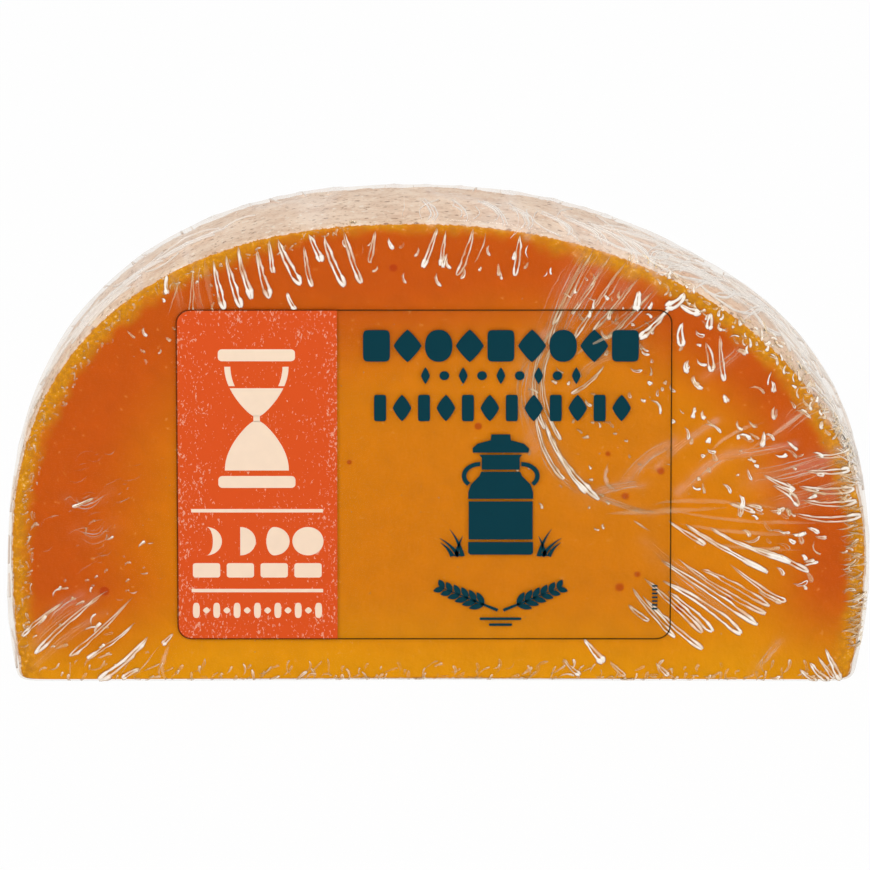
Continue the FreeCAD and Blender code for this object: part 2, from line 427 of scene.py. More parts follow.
        def blend(field):
            near = field[i, j] * (1 - t) + field[i, k] * t
            far = field[i + 1, j] * (1 - t) + field[i + 1, k] * t
            return near * (1 - s) + far * s

        normal = blend(normals)
        return blend(grid), normal / np.linalg.norm(normal, axis=-1, keepdims=True)


def hump(theta, at, spread):
    """A cosine hump of height 1 round a direction, in degrees."""
    away = np.abs((np.degrees(theta) - at + 180) % 360 - 180)
    return np.where(away < spread, (1 + np.cos(math.pi * away / spread)) / 2, 0)


def film_stand_off(film):
    """Stand-off of the film over the rind: broad tents on the shoulders and sides, whose places and
    widths are in degrees round the crown axis."""

    def stand_off(theta, along):
        across = np.sin(math.pi * along)
        return across * (
            film.left_tent * hump(theta, 143, 35)
            + film.right_tent * hump(theta, 31, 35)
            + film.side_tent * (hump(theta, 194, 26) + hump(theta, 346, 26))
        )

    return stand_off


def film_slab(shape):
    """The film's rows and columns, a film's gap outside the cheese."""
    gap = CHEESE[0, 1] - FILM[0, 1]
    rows = (72, 6, 22, 20)
    return Slab(shape, gap, gap, FILM[1, 1] - CHEESE[1, 1], CHEESE[0, 2] - FILM[0, 2], rows)


def film_surface(scene):
    """The film before its creases: the slab's surface with tents, pleats across the rind and folds
    gathered towards the middle of the back."""
    shape, film = scene.slab_shape, scene.film_shape
    slab = film_slab(shape)
    grid = slab.grid(film_stand_off(film))
    normals = outward(grid)
    theta = slab.theta[None, :]
    depth = slab.y[:, None]
    ring = np.stack(np.broadcast_arrays(60 * np.cos(theta), depth / 3, 60 * np.sin(theta)), -1)
    folds = 1 - np.abs(noise(ring, 7.0, 11, 1)) * 2
    pleats = np.clip(folds, 0, 1) ** 3 * slab.rind_weight[:, None]
    back = np.clip((depth - slab.back + 1.5) / 1.5, 0, 1)
    spoke = np.stack(np.broadcast_arrays(theta * 26, slab.share[:, None] * 2, 0 * theta), -1)
    spokes = 1 - np.abs(noise(spoke, 2.2, 5, 2)) * 2
    gathers = np.clip(spokes, 0, 1) ** 2 * back * ease(slab.share[:, None] * 3)
    on_foot = ease((grid[..., 2] - FILM[0, 2] - 0.3) / 2.0)
    lift = (film.pleat * pleats + film.gather * gathers) * on_foot
    return slab, grid + normals * lift[..., None], pleats, gathers


# ---- Materials ----

# Settings of nodes that come up often.
SMOOTH = {"interpolation_type": "SMOOTHSTEP"}
BLEND = {"out": 2, "data_type": "RGBA"}
TIMES = {"operation": "MULTIPLY"}
LESS = {"operation": "SUBTRACT"}
MORE = {"operation": "MAXIMUM"}
LINE = {"operation": "MULTIPLY_ADD"}


def new_material(name):
    """An empty node material."""
    material = bpy.data.materials.new(name)
    material.use_nodes = True
    material.node_tree.nodes.clear()
    return material


def add(material, kind, *values, out=0, **settings):
    """Adds a node and gives one of its outputs. values go to its inputs in turn, or are one dict
    from inputs' names or numbers to values. A value is a number, a colour or a node's output."""
    tree = material.node_tree
    node = tree.nodes.new("ShaderNode" + kind)
    for key, value in settings.items():
        setattr(node, key, value)
    named = values[0] if values and isinstance(values[0], dict) else dict(enumerate(values))
    for key, value in named.items():
        socket = node.inputs[key]
        if isinstance(value, bpy.types.NodeSocket):
            tree.links.new(value, socket)
        else:
            socket.default_value = (*value, 1) if socket.type == "RGBA" else value
    return node.outputs[out] if node.outputs else None


def pattern(m, kind, size, stretch=(1, 1, 1), **inputs):
    """A texture on Object coordinates, of a size in millimetres, drawn out by stretch."""
    where = add(m, "TexCoord", out="Object")
    scaled = add(m, "Mapping", {"Vector": where, "Scale": [1 / s for s in stretch]})
    return add(m, kind, {"Vector": scaled, "Scale": 1 / (size * MM), **inputs})


# Red spots in the paste of the front cut: x, z and radius.
SPOTS = (
    (40.3, 44.0, 0.9),
    (47.8, 49.9, 0.8),
    (42.9, 25.6, 0.7),
    (39.2, 22.4, 1.0),
    (52.0, 17.4, 1.1),
    (36.4, 54.0, 0.7),
)


def cheese_material(colours):
    """Hard, ripened cow's-milk cheese, coloured with annatto and cut with a wire: dense waxy paste,
    ochre under the rind, dried to red-orange behind that, amber in the heart, and round it a dry,
    mite-pitted rind like pale stone."""
    m = new_material("ripened_paste_and_rind")
    inside = add(m, "Attribute", out="Fac", attribute_name="edge_mm")
    rind = add(m, "Attribute", out="Fac", attribute_name="rind")
    where = add(m, "TexCoord", out="Object")
    x, z = (add(m, "SeparateXYZ", where, out=axis) for axis in "XZ")
    broad = pattern(m, "TexNoise", 32.0)
    ragged = pattern(m, "TexNoise", 4.4, Detail=3, Roughness=0.6)
    fine = pattern(m, "TexNoise", 1.4, Roughness=0.6)
    crumb = pattern(m, "TexNoise", 1.1, Detail=3, Roughness=0.75)
    # Where the zones end wanders by some millimetres.
    zone = add(m, "Math", inside, add(m, "Math", ragged, 5.0, -2.5, **LINE))
    deep = add(m, "Math", inside, add(m, "Math", broad, 12.0, -6.0, **LINE))
    # The dry zone is wide at the left and on the crown and narrow at the lower right.
    leftward = add(m, "MapRange", x, 0.055, -0.03, **SMOOTH)
    depth_in = add(m, "Math", deep, add(m, "Math", leftward, 13.0, 17.0, **LINE), operation="DIVIDE")
    ripe = add(m, "MapRange", depth_in, 0.45, 1.55, **SMOOTH)
    low = add(m, "MapRange", add(m, "Math", broad, 0.012, z, **LINE), 0.030, 0.004, 0, 0.85, **SMOOTH)
    # Just under the rind the paste breaks into crumbs. This ochre rim is narrow on the crown.
    hollow = add(m, "MapRange", crumb, 0.40, 0.62, **SMOOTH)
    rim = add(m, "Mix", {0: hollow, 6: colours.crumb, 7: colours.edge}, **BLEND)
    top = add(m, "MapRange", crumb, 0.62, 0.70, **SMOOTH)
    rim = add(m, "Mix", {0: top, 6: rim, 7: colours.bloom}, **BLEND)
    zone = add(m, "Math", add(m, "MapRange", z, 0.098, 0.105, **SMOOTH), 2.1, zone, **LINE)
    outer = add(m, "MapRange", zone, 5.8, 1.9, **SMOOTH)
    paste = colours.dry
    for cover, colour in ((ripe, colours.heart), (low, colours.foot), (outer, rim)):
        paste = add(m, "Mix", {0: cover, 6: paste, 7: colour}, **BLEND)
    # Mottling of the paste, a millimetre or two across, finer crystals and red spots.
    mottle = add(m, "Math", ragged, 0.5, 0.75, **LINE)
    darker = add(m, "Mix", {0: 1.0, 6: paste, 7: mottle}, blend_type="MULTIPLY", **BLEND)
    crystal = add(m, "MapRange", pattern(m, "TexNoise", 1.1, Detail=1), 0.70, 0.80, 0, 0.30, **SMOOTH)
    cells = pattern(m, "TexVoronoi", 9.0, (1, 6, 1))
    pick = add(m, "SeparateColor", cells.node.outputs["Color"])
    radius = add(m, "MapRange", pick, 0.72, 1.0, 0, 0.13, **SMOOTH)
    spot = add(m, "MapRange", add(m, "Math", radius, cells, **LESS), -0.01, 0.03, **SMOOTH)
    for spot_x, spot_z, radius in SPOTS:
        centre = (spot_x * MM, CHEESE[0, 1] * MM, spot_z * MM)
        away = add(m, "VectorMath", where, centre, out="Value", operation="DISTANCE")
        uneven = add(m, "Math", ragged, 1.6 * MM, away, **LINE)
        here = add(m, "MapRange", uneven, (radius + 1.1) * MM, (radius + 0.4) * MM, **SMOOTH)
        spot = add(m, "Math", spot, here, **MORE)
    spot = add(m, "Math", spot, 0.7, **TIMES)
    for cover, colour in ((0.5, darker), (crystal, colours.crystal), (spot, colours.spot)):
        paste = add(m, "Mix", {0: cover, 6: paste, 7: colour}, **BLEND)
    # The rind: pale, with rosy hollows, brown pits drawn out along it, dust and grit.
    cloud = pattern(m, "TexNoise", 4.4, (1.8, 1, 1), Detail=4, Roughness=0.7)
    dust = pattern(m, "TexNoise", 0.9, (1.6, 1, 1), Roughness=0.7)
    cells = pattern(m, "TexVoronoi", 1.15, (1.9, 1.0, 1.0))
    pick = add(m, "SeparateColor", cells.node.outputs["Color"])
    radius = add(m, "MapRange", pick, 0.30, 1.0, 0, 0.34, **SMOOTH)
    pit = add(m, "MapRange", add(m, "Math", radius, cells, **LESS), -0.02, 0.12, **SMOOTH)
    coats = (
        (add(m, "MapRange", cloud, 0.36, 0.72, **SMOOTH), colours.rind_shade),
        (add(m, "Math", pit, 0.72, **TIMES), colours.rind_pit),
        (add(m, "MapRange", dust, 0.58, 0.72, **SMOOTH), colours.rind_dust),
        (add(m, "MapRange", dust, 0.43, 0.28, **SMOOTH), colours.rind_grit),
    )
    crust = colours.rind
    for cover, colour in coats:
        crust = add(m, "Mix", {0: cover, 6: crust, 7: colour}, **BLEND)
    # Paste and rind meet along a broken line.
    border = add(m, "Math", rind, add(m, "Math", crumb, 1.6, -0.8, **LINE))
    side = add(m, "MapRange", border, 0.42, 0.60, **SMOOTH)
    relief = add(m, "Math", pit, add(m, "Math", side, -1.6, **TIMES), fine, **LINE)
    inputs = {
        "Base Color": add(m, "Mix", {0: side, 6: paste, 7: crust}, **BLEND),
        "Roughness": add(m, "Math", side, 0.35, 0.5, **LINE),
        "Normal": add(m, "Bump", {"Height": relief, "Strength": 0.5, "Distance": 0.00018}),
        "IOR": 1.45,
        "Specular IOR Level": 0.10,
    }
    add(m, "OutputMaterial", add(m, "BsdfPrincipled", inputs))
    return m


def film_material(name, haze, mirror, rough, tint, steep, milky="FFFDF9"):
    """Stretch film, blown polyethylene: clear with a faint warm tint and mirror-smooth. It is milky
    where it is folded or overstretched. Beside a sharp crease what shows through it is tinted brown:
    painted shade, for the light that the crease bends away. steep is how soon it mirrors as it turns
    from the eye. The white of a weak crease is tinted warm: painted light, for the paste's own light
    glowing through it, so that it is never a cold grey."""
    m = new_material(name)
    milk = add(m, "Attribute", out="Fac", attribute_name="haze")
    painted_flank_shade = add(m, "Attribute", out="Fac", attribute_name="painted_flank_shade")
    turned = add(m, "LayerWeight", {"Blend": steep}, out="Facing")
    gloss_share = add(m, "Math", add(m, "Math", turned, 2.5, operation="POWER"), mirror, 0.002, **LINE)
    # Painted shade: beside a sharp crease what shows through is tinted brown.
    seen = add(m, "Mix", {0: painted_flank_shade, 6: linear(tint), 7: linear("BC9569")}, **BLEND)
    clear = add(m, "BsdfTransparent", {"Color": seen})
    gloss = add(m, "BsdfGlossy", {"Color": linear("FFFFFF"), "Roughness": rough})
    shiny = add(m, "MixShader", gloss_share, clear, gloss)
    # Painted light: a weak crease's white is tinted warm, for the paste's light shining through it.
    strong = add(m, "MapRange", milk, 0.25, 0.95, **SMOOTH)
    glow = add(m, "Mix", {0: strong, 6: linear("FFDDAA"), 7: linear(milky)}, **BLEND)
    white = add(m, "BsdfDiffuse", {"Color": glow})
    cloudy = add(m, "Math", milk, haze, use_clamp=True, **TIMES)
    add(m, "OutputMaterial", add(m, "MixShader", cloudy, shiny, white))
    return m


def ink_material(name, colour):
    """Flexographic ink on film: flat, even and slightly glossy."""
    m = new_material(name)
    patchy = {0: pattern(m, "TexNoise", 2.4), 6: [0.93 * c for c in colour], 7: colour}
    inputs = {"Base Color": add(m, "Mix", patchy, **BLEND), "Roughness": 0.4, "Specular IOR Level": 0.08}
    add(m, "OutputMaterial", add(m, "BsdfPrincipled", inputs))
    return m


# ---- Creases: where they lie, and their tubes ----

# Creases drawn one by one. Each row: start, middle and end on the front cut (x, z), the gap between
# the two lines of a loop (0 for a single line), the width of a line and how bright it is. In mm. A
# crease's white is the film's whitening together with a painted highlight for its glint.
LONG_CREASES = (
    # the fan above the label's left half
    (-48.2, 99.4, -47.2, 93.5, -46, 88.1, 1.1, 0.42, 1),
    (-45.5, 100.8, -44.2, 94.5, -42.4, 88.6, 1.2, 0.42, 1),
    (-42.9, 102.8, -41.8, 96.6, -40, 90.6, 1, 0.50, 0.9),
    (-38.9, 101.9, -37.8, 96.2, -36.2, 90.8, 1.3, 0.42, 1),
    (-36.2, 104.4, -36, 100.4, -35.4, 96.7, 0.7, 0.36, 0.8),
    (-34.4, 104.4, -32.4, 99, -29.6, 94, 1.5, 0.44, 1),
    (-32.5, 92, -31.8, 90, -30.7, 88.2, 0.9, 0.45, 1),
    (-28.8, 103, -28.2, 98, -27.2, 93.5, 0.9, 0.34, 0.7),
    (-27.8, 105.7, -26.4, 102.6, -25.3, 99.4, 1.1, 0.44, 1),
    (-24.5, 105.4, -22.9, 99.7, -20.2, 93.6, 1.4, 0.42, 1),
    (-20.2, 106.1, -18.6, 100, -16.5, 94.3, 1.2, 0.40, 0.9),
    (-52.5, 98, -52.8, 92, -53.2, 86.5, 0.9, 0.26, 0.5),
    (-58.2, 96.2, -58.4, 94, -58.2, 91.9, 0.7, 0.45, 0.9),
    (-55.4, 96.6, -56.6, 91.5, -58, 86.8, 0, 0.26, 0.4),
    # under the crown
    (-0.3, 107.2, -1.6, 102.6, -3.4, 98, 1, 0.36, 0.9),
    (1.6, 106.4, 1, 102.2, 0.4, 98.4, 0.7, 0.34, 0.8),
    (7.5, 107.2, 6.2, 101.6, 4.1, 96, 1.3, 0.32, 0.8),
    (10.2, 106.2, 9.2, 102.2, 7.6, 98.8, 0, 0.30, 0.6),
    (17.4, 105.5, 17.1, 100.9, 16.4, 96, 1.2, 0.34, 0.9),
    (-13.6, 106.4, -14.2, 102.4, -14.6, 99, 0.8, 0.34, 0.7),
    # the fan at the lower right
    (49.5, 38.3, 53.2, 35.6, 57.4, 32.7, 0.8, 0.34, 0.9),
    (53.3, 37.6, 59.5, 33.1, 71, 26.1, 0.7, 0.44, 1),
    (58.5, 36.9, 64.6, 33.1, 75.9, 28.4, 0.6, 0.40, 0.9),
    (67.2, 32.2, 73, 29.9, 79.8, 26.3, 1, 0.34, 0.8),
    (62.9, 28, 71, 21.4, 74.9, 19.6, 1.1, 0.36, 0.9),
    (48, 28.9, 57.4, 22.4, 68.9, 13.7, 1.5, 0.38, 1),
    (51.6, 29.4, 60.6, 22.4, 70.6, 16.3, 1.1, 0.34, 0.8),
    (56.8, 26.8, 62.1, 24.2, 71.5, 18.2, 1.4, 0.34, 0.8),
    (48.4, 24, 57.8, 18.2, 65.3, 11.6, 1.8, 0.46, 1.1),
    (49.5, 21.6, 54.6, 17, 59.1, 12.1, 1.5, 0.42, 1),
    (44.4, 24.7, 50.8, 18.4, 57, 11.9, 1.2, 0.34, 0.8),
    (44.1, 20.5, 49.9, 14.2, 57, 7.9, 1.1, 0.36, 0.9),
    (41.8, 22.4, 45.6, 17, 51, 10.7, 1, 0.30, 0.7),
    (41, 18.4, 43, 16.4, 45.4, 14.7, 0.9, 0.32, 0.7),
    (69, 21.8, 71.4, 20.4, 74, 19, 0.9, 0.34, 0.8),
    (41.9, 38.4, 43.6, 37.2, 45.6, 35.9, 0, 0.30, 0.6),
    (62.6, 42.4, 65.4, 41.4, 68.2, 40.4, 0.6, 0.36, 0.8),
    # the bottom right corner
    (83.6, 8, 85.4, 4, 87, 0.8, 1.2, 0.42, 1),
    (80.2, 4.6, 82.4, 2, 84.4, 0.4, 1.3, 0.42, 1),
    (78.1, 3, 80, 1.4, 81.7, 0.4, 0.9, 0.36, 0.9),
    (82, 6, 84, 3.2, 85.6, 1, 0.8, 0.34, 0.8),
    # along the foot
    (31.3, 10.4, 33.6, 7.4, 35.4, 4.8, 1.3, 0.50, 1.1),
    (27, 5.6, 28.8, 3.4, 30.4, 1.8, 0.9, 0.34, 0.8),
    (37.1, 5, 38.8, 3, 40.4, 1.6, 0.8, 0.32, 0.7),
    (47, 4.6, 48.4, 3, 49.6, 1.6, 0.8, 0.34, 0.7),
    # the bottom left
    (-71.5, 21.8, -80, 14.4, -87.2, 6.9, 1.1, 0.34, 0.8),
    (-81, 19, -85.6, 15.4, -89.9, 11, 0.8, 0.32, 0.8),
    (-66, 20.2, -73.3, 12.2, -79.7, 6.2, 1, 0.30, 0.7),
    (-65.6, 14.2, -70.6, 9.4, -76, 5.8, 0.7, 0.32, 0.8),
    (-62.9, 10.8, -67.8, 5, -73.4, 0.6, 1.4, 0.52, 1.1),
    (-64.7, 3.4, -66.6, 2.2, -68.3, 1, 0.9, 0.40, 0.9),
    (-57.4, 11.6, -58.4, 10.4, -59.6, 9.2, 0.7, 0.34, 0.8),
    (-60.2, 8.8, -64, 3.6, -66, 0.8, 0, 0.26, 0.5),
    (-74.2, 43.8, -76.4, 42.6, -78.8, 41.6, 0.6, 0.32, 0.9),
    # down from the crown's right side: thin and milky, curving back at the label
    (33.2, 102.1, 29, 93.6, 24.5, 84.5, 0.9, 0.26, 0.5),
    (37, 101, 33, 94, 28.6, 87, 0.6, 0.26, 0.5),
    (42.9, 95.4, 38, 89, 33.2, 83.1, 0.9, 0.26, 0.6),
    (40, 99, 34, 89.6, 29, 81, 0.8, 0.28, 0.6),
    (46, 92.4, 41, 86.6, 36.4, 81.4, 0.6, 0.26, 0.5),
    (31.5, 100.6, 26.8, 90, 23.8, 80, 0.7, 0.26, 0.5),
    (48.4, 87.4, 42.6, 83.4, 36.8, 80.4, 0, 0.26, 0.6),
    (24.8, 84.4, 20.6, 72, 22.8, 60, 0.8, 0.30, 0.6),
    (26.2, 82.4, 22.4, 71, 26.2, 57.4, 0.7, 0.28, 0.6),
    (22.8, 62, 26.8, 52.6, 34.6, 43.4, 1, 0.40, 0.9),
    (20.8, 64, 22.8, 55, 27, 48.2, 0.9, 0.32, 0.8),
    (24.4, 58.4, 28, 50.2, 31.8, 45, 0.6, 0.40, 0.9),
    (35.6, 75, 32.4, 71, 28.6, 68.4, 0.6, 0.30, 0.6),
    # from the bright knot at the label's corner, whose glints are painted white
    (49.6, 88.6, 46.4, 84.4, 43.2, 81.6, 1.2, 0.50, 1.1),
    (52.6, 92, 51.4, 89.8, 49, 88.8, 1.6, 0.66, 1.2),
    (51.8, 89.4, 53.6, 88, 55.8, 87.4, 1.2, 0.60, 1.2),
    (52.4, 85, 51.8, 82.4, 52.2, 79.6, 1.4, 0.44, 1),
    (58.4, 87.2, 58.2, 85.4, 58, 83.6, 1.2, 0.50, 1.1),
    (60.4, 82, 60.8, 76, 61.4, 71.4, 0.9, 0.34, 0.8),
    (57.4, 80.4, 58.4, 77, 58.6, 73.6, 1.3, 0.40, 1),
    (43, 92.4, 42.6, 90.2, 42.4, 88, 1, 0.50, 1.1),
    # level ones that end in the right edge
    (76.6, 40.2, 83.6, 38.6, 91, 39.6, 1.4, 0.36, 0.8),
    (77.6, 46.4, 83.8, 45.4, 89.4, 46, 1.6, 0.40, 0.9),
    (79, 50.2, 84, 49.8, 88.4, 50.4, 1.2, 0.36, 0.8),
    (81, 53.6, 85, 53.6, 88.6, 54.6, 1, 0.34, 0.8),
    (78.4, 43.4, 84, 42.2, 90, 43, 1.2, 0.34, 0.8),
    (72, 46.8, 75.6, 44.6, 77.6, 42, 1.4, 0.40, 0.9),
    (70, 49.2, 73.6, 47, 76.6, 45.6, 0.8, 0.34, 0.9),
)

# Families of small creases. Each row: how many, middle x and z, spread along and across the
# family's line, the line's direction, the creases' own direction and its scatter, length, gap,
# line width and brightness, in millimetres and degrees. Their white is a painted highlight for
# their glints, together with the film's whitening.
SMALL_CREASES = (
    # under the crown, and on the left shoulder
    (22, 2, 99.5, 24, 4.5, -2, -100, 30, 1.8, 0.4, 0.22, 0.9),
    (16, -57, 86, 12, 5, 48, -84, 50, 1.3, 0.35, 0.26, 0.8),
    # on the right, where the film is crumpled
    (40, 61, 66, 16, 12, -40, -62, 50, 2.1, 0.6, 0.27, 1.1),
    (40, 71, 49, 15, 11, -30, -30, 55, 1.9, 0.55, 0.25, 1),
    (26, 36, 72, 13, 13, -40, -60, 50, 1.5, 0.45, 0.21, 0.8),
    (26, 32, 50, 13, 13, -40, -50, 60, 0.9, 0.2, 0.22, 0.7),
    (26, 75, 33, 10, 6, -40, -30, 50, 2, 0.6, 0.24, 1),
    (22, 38, 88, 11, 6, -30, -70, 50, 1.6, 0.45, 0.24, 0.9),
    # the crumpled band in the right edge
    (170, 88.8, 35, 27, 1.6, 93, 8, 30, 2.2, 0.35, 0.13, 0.55),
    (90, 81.2, 67, 20, 2.6, -56, -45, 70, 1.5, 0.4, 0.20, 1),
    (70, 55.4, 90.4, 18, 2.4, -38, -60, 70, 1.4, 0.35, 0.19, 0.9),
    # the left edge
    (80, -88.2, 38, 30, 1.6, 86, 60, 60, 1.2, 0.3, 0.14, 0.45),
    (50, -75.4, 76.2, 19, 1.8, 55, 50, 70, 1.1, 0.3, 0.15, 0.5),
    (50, -40, 100.2, 24, 1.6, 20, 60, 80, 1, 0.25, 0.15, 0.5),
    # scratches on the left
    (34, -75, 42, 14, 7, 70, 22, 14, 3.2, 0, 0.15, 0.35),
    (24, -72, 27, 10, 8, 60, 40, 45, 1.2, 0.25, 0.20, 0.6),
    (30, -76, 10, 13, 8, -40, 44, 35, 1.7, 0.3, 0.21, 0.7),
    # along the foot
    (110, 0, 2.4, 86, 1.8, 0, 62, 40, 2.2, 0.4, 0.15, 0.5),
    (50, 10, 1.2, 76, 0.5, 0, 20, 50, 1.9, 0.35, 0.14, 0.5),
    # specks all over: painted glints
    (150, 5, 50, 84, 44, 0, 0, 180, 0.35, 0, 0.17, 0.45),
)

# Broad milky folds, like the long creases.
MILKY_FOLDS = (
    (29, 77, 35, 81, 43, 83.4, 0, 0.9, 0.60),
    (36.6, 52, 36, 48, 38.4, 45.4, 0, 0.9, 0.60),
    (66, 55, 75, 61, 84, 69.6, 0, 0.9, 0.65),
    (56, 52, 62, 58, 70, 61.6, 0, 0.8, 0.50),
    (36, 40, 48, 40.6, 62, 41.4, 0, 1, 0.45),
    (46, 42.4, 60, 43, 74, 41, 0, 0.9, 0.45),
    (52, 37.8, 64, 35.8, 80, 35, 0, 0.8, 0.45),
    (50, 40.8, 66, 38.4, 84, 38, 0, 0.9, 0.40),
    (58, 33, 68, 31.8, 78, 31.4, 0, 0.7, 0.40),
    (-58, 9.4, -59.6, 4.4, -59, 0.6, 0, 0.9, 0.70),
    (-50, 100.4, -49.4, 94, -48.4, 88, 0, 1, 0.30),
)

# Families of long folds over the rind, in the terms of the small creases: on the right shoulder,
# then on the left, and down both sides.
SHOULDER_FOLDS = (
    (22, 58, 100.5, 17, 5, -36, -24, 30, 12, 0.6, 0.18, 0.8),
    (18, 80, 80, 17, 4, -54, -58, 22, 13, 0.6, 0.18, 0.8),
    (12, 92, 57, 12, 3, -72, -56, 26, 9, 0.5, 0.16, 0.8),
    (12, 22, 113.5, 30, 3, -10, -98, 14, 11, 0, 0.15, 0.6),
    (7, -66, 102, 20, 4, 44, 44, 10, 10, 0, 0.15, 0.6),
    (5, -88, 72, 12, 3, 62, 62, 10, 9, 0, 0.15, 0.6),
    (6, -93, 26, 26, 2, 90, 84, 12, 7, 0, 0.14, 0.5),
)

# Folds gathered on the back. Each row: how many, over which directions, how far from the back's
# middle they run inwards from the edge, line width and brightness, in degrees and mm.
BACK_GATHERS = (
    (54, -80, 260, 26, 0.22, 0.9),
    (34, -80, 260, 44, 0.18, 0.7),
)

# Broad soft veils in the sheet itself. Each row: start, middle and end, as above, the width, and
# the brightness, which counts in sheet thicknesses.
BROAD_VEILS = (
    (33, 104, 27, 92, 22.6, 78, 5.5, 1.2),
    (37, 102.4, 31, 91, 26, 80, 4, 1.4),
    (43, 98.6, 37.6, 89.6, 31.4, 81, 5, 1.2),
    (47.4, 95, 41.4, 87, 34.4, 80.4, 3, 1.2),
    (24, 84, 19.4, 70, 22, 56, 7, 1.4),
    (22, 62, 25.4, 52, 32, 44, 5, 1.2),
    (28.6, 70, 34, 75.6, 44, 79.4, 2, 1.2),
    (34, 45, 39, 46.4, 44, 47, 2.5, 2),
    (40, 46.6, 45, 53, 51, 57, 3, 2.2),
    (47, 51, 52.4, 56.4, 60, 62, 2, 2),
    (52, 45, 59, 51.6, 66, 55, 3, 2),
    (62, 53.6, 70, 55, 76.6, 56.4, 2, 2),
    (68, 48, 77, 50, 87, 54, 6, 1.4),
    (72, 42, 80, 44, 90, 47, 5, 1.4),
    (74, 60, 78, 64, 84, 67, 4, 1.2),
    (30, 46, 38, 42.6, 46, 40, 2, 1.6),
    (44, 34, 52, 27, 62, 21, 2.5, 1),
    (46, 30, 55, 22, 64, 15, 3, 1),
    (74, 10, 71, 6, 68, 2, 2, 1.6),
    (-86, 12.6, -82, 17.4, -77, 20.6, 3, 1.6),
    (-88, 8, -83, 13.6, -74, 20.4, 2.5, 1.2),
    (-86.8, 4.4, -80, 11, -72, 16.6, 2, 1.2),
    (-80, 44, -76, 42, -70.4, 45.6, 2.5, 0.8),
    (-78, 36, -74, 34.6, -70, 37.6, 4, 0.6),
    (-57.4, 98, -56, 92, -55, 87, 2, 1),
    (-52, 99, -52, 93, -51, 87.4, 2, 1),
    (66, 80, 62, 76, 57, 72, 3, 1),
)

# The same over the rind, with their place laid out flat round the front cut.
RIND_VEILS = (
    # over the rind on the crown's right, and the knots on the right shoulder
    (-3, 121, -1, 114, -1.6, 108, 2, 2.4),
    (4, 121, 6.4, 114.6, 6, 108, 2, 2.4),
    (11.4, 120.8, 14.6, 114.4, 13.6, 107.4, 2, 2.8),
    (18.6, 120, 21.4, 113, 19, 105, 2, 2.4),
    (26, 118, 30.4, 111, 29, 103.4, 2, 2.4),
    (32, 116.4, 37, 109, 36, 101.4, 2.5, 2.8),
    (38.4, 114, 43, 106.4, 42, 98.6, 2.5, 2.8),
    (43, 111, 47, 104, 46, 97, 2, 2.8),
    (45, 98.6, 52, 103.4, 60, 101.4, 2, 3.6),
    (46.6, 96.4, 54, 98.6, 64, 96.4, 2, 3.6),
    (48, 101, 56, 99.4, 66, 92, 2, 3.4),
    (50, 104.6, 58, 100.4, 66, 94.6, 2, 3.4),
    (56, 94.4, 64, 94, 72, 90.4, 2, 3.6),
    (60, 99, 64, 93.4, 70, 88, 2, 3.4),
    (54, 92.4, 62, 96, 68, 95.6, 1.5, 3.4),
    (66, 86, 73, 88, 78, 85, 2, 3.2),
    (70, 92.4, 77, 86, 82, 78.6, 2.5, 2.8),
    (74, 89, 81, 80, 86, 70, 2.5, 2.8),
    (78, 76, 84.6, 70.6, 89, 62, 2, 2.8),
    (80, 70, 86, 64.6, 92, 55.6, 2, 3.4),
    (84, 62, 90, 57.6, 96, 52, 2, 3.4),
    (86, 55, 91, 52, 97, 49, 2.5, 3.4),
    (87, 49, 92, 47, 98, 45, 2, 2.4),
    # left shoulder, over the rind
    (-66, 102, -58, 107.6, -50, 112, 2.5, 2.4),
    (-76, 92, -68, 99.6, -60, 104.4, 2.5, 2.4),
    (-84, 80, -78, 89, -70, 96.4, 2.5, 2),
    (-80, 80.6, -74, 89.6, -66, 97.6, 2, 2),
    (-88, 72, -83, 81, -77, 88, 2, 1.6),
    (-90, 56, -91, 62, -87, 70, 2, 1.6),
)


def varied(families, seed):
    """Rows like those of the long creases. A crease's middle lies evenly along its family's line
    with random play, its direction is scattered, and its sizes vary about the family's."""
    rng = np.random.default_rng(seed)
    rows = []
    for count, x, z, along, across, line, turn, play, size, gap, width, bright in families:
        t = (np.arange(count) + rng.uniform(-0.2, 1.2, count)) / count * 2 - 1
        side = rng.uniform(-1, 1, count)
        c, s = facing(line)
        middle = np.stack(
            [x + along * t * c - across * side * s, z + along * t * s + across * side * c], -1
        )
        angle = np.radians(turn + rng.uniform(-1, 1, count) * play)
        half = size * rng.uniform(0.35, 1.9, count) / 2
        step = np.stack([np.cos(angle), np.sin(angle)], -1) * half[:, None]
        bow = rng.uniform(-0.55, 0.55, (count, 1)) * step[:, ::-1] * [-1, 1]
        gaps = gap * rng.uniform(0.3, 1.4, count)
        sizes = (width * rng.uniform(0.5, 1.6, count), bright * rng.uniform(0.3, 1.3, count))
        rows.append(np.column_stack([middle - step, middle + bow, middle + step, gaps, *sizes]))
    return np.concatenate(rows)


def curve(rows, t):
    """Points on the parabolas through the starts, middles and ends of creases, and their slopes."""
    s = t[None, :, None]
    start, middle, end = (rows[:, None, k : k + 2] for k in (0, 2, 4))
    pull = 2 * middle - (start + end) / 2
    path = (1 - s) ** 2 * start + 2 * s * (1 - s) * pull + s**2 * end
    return path, 2 * (1 - s) * (pull - start) + 2 * s * (end - pull)


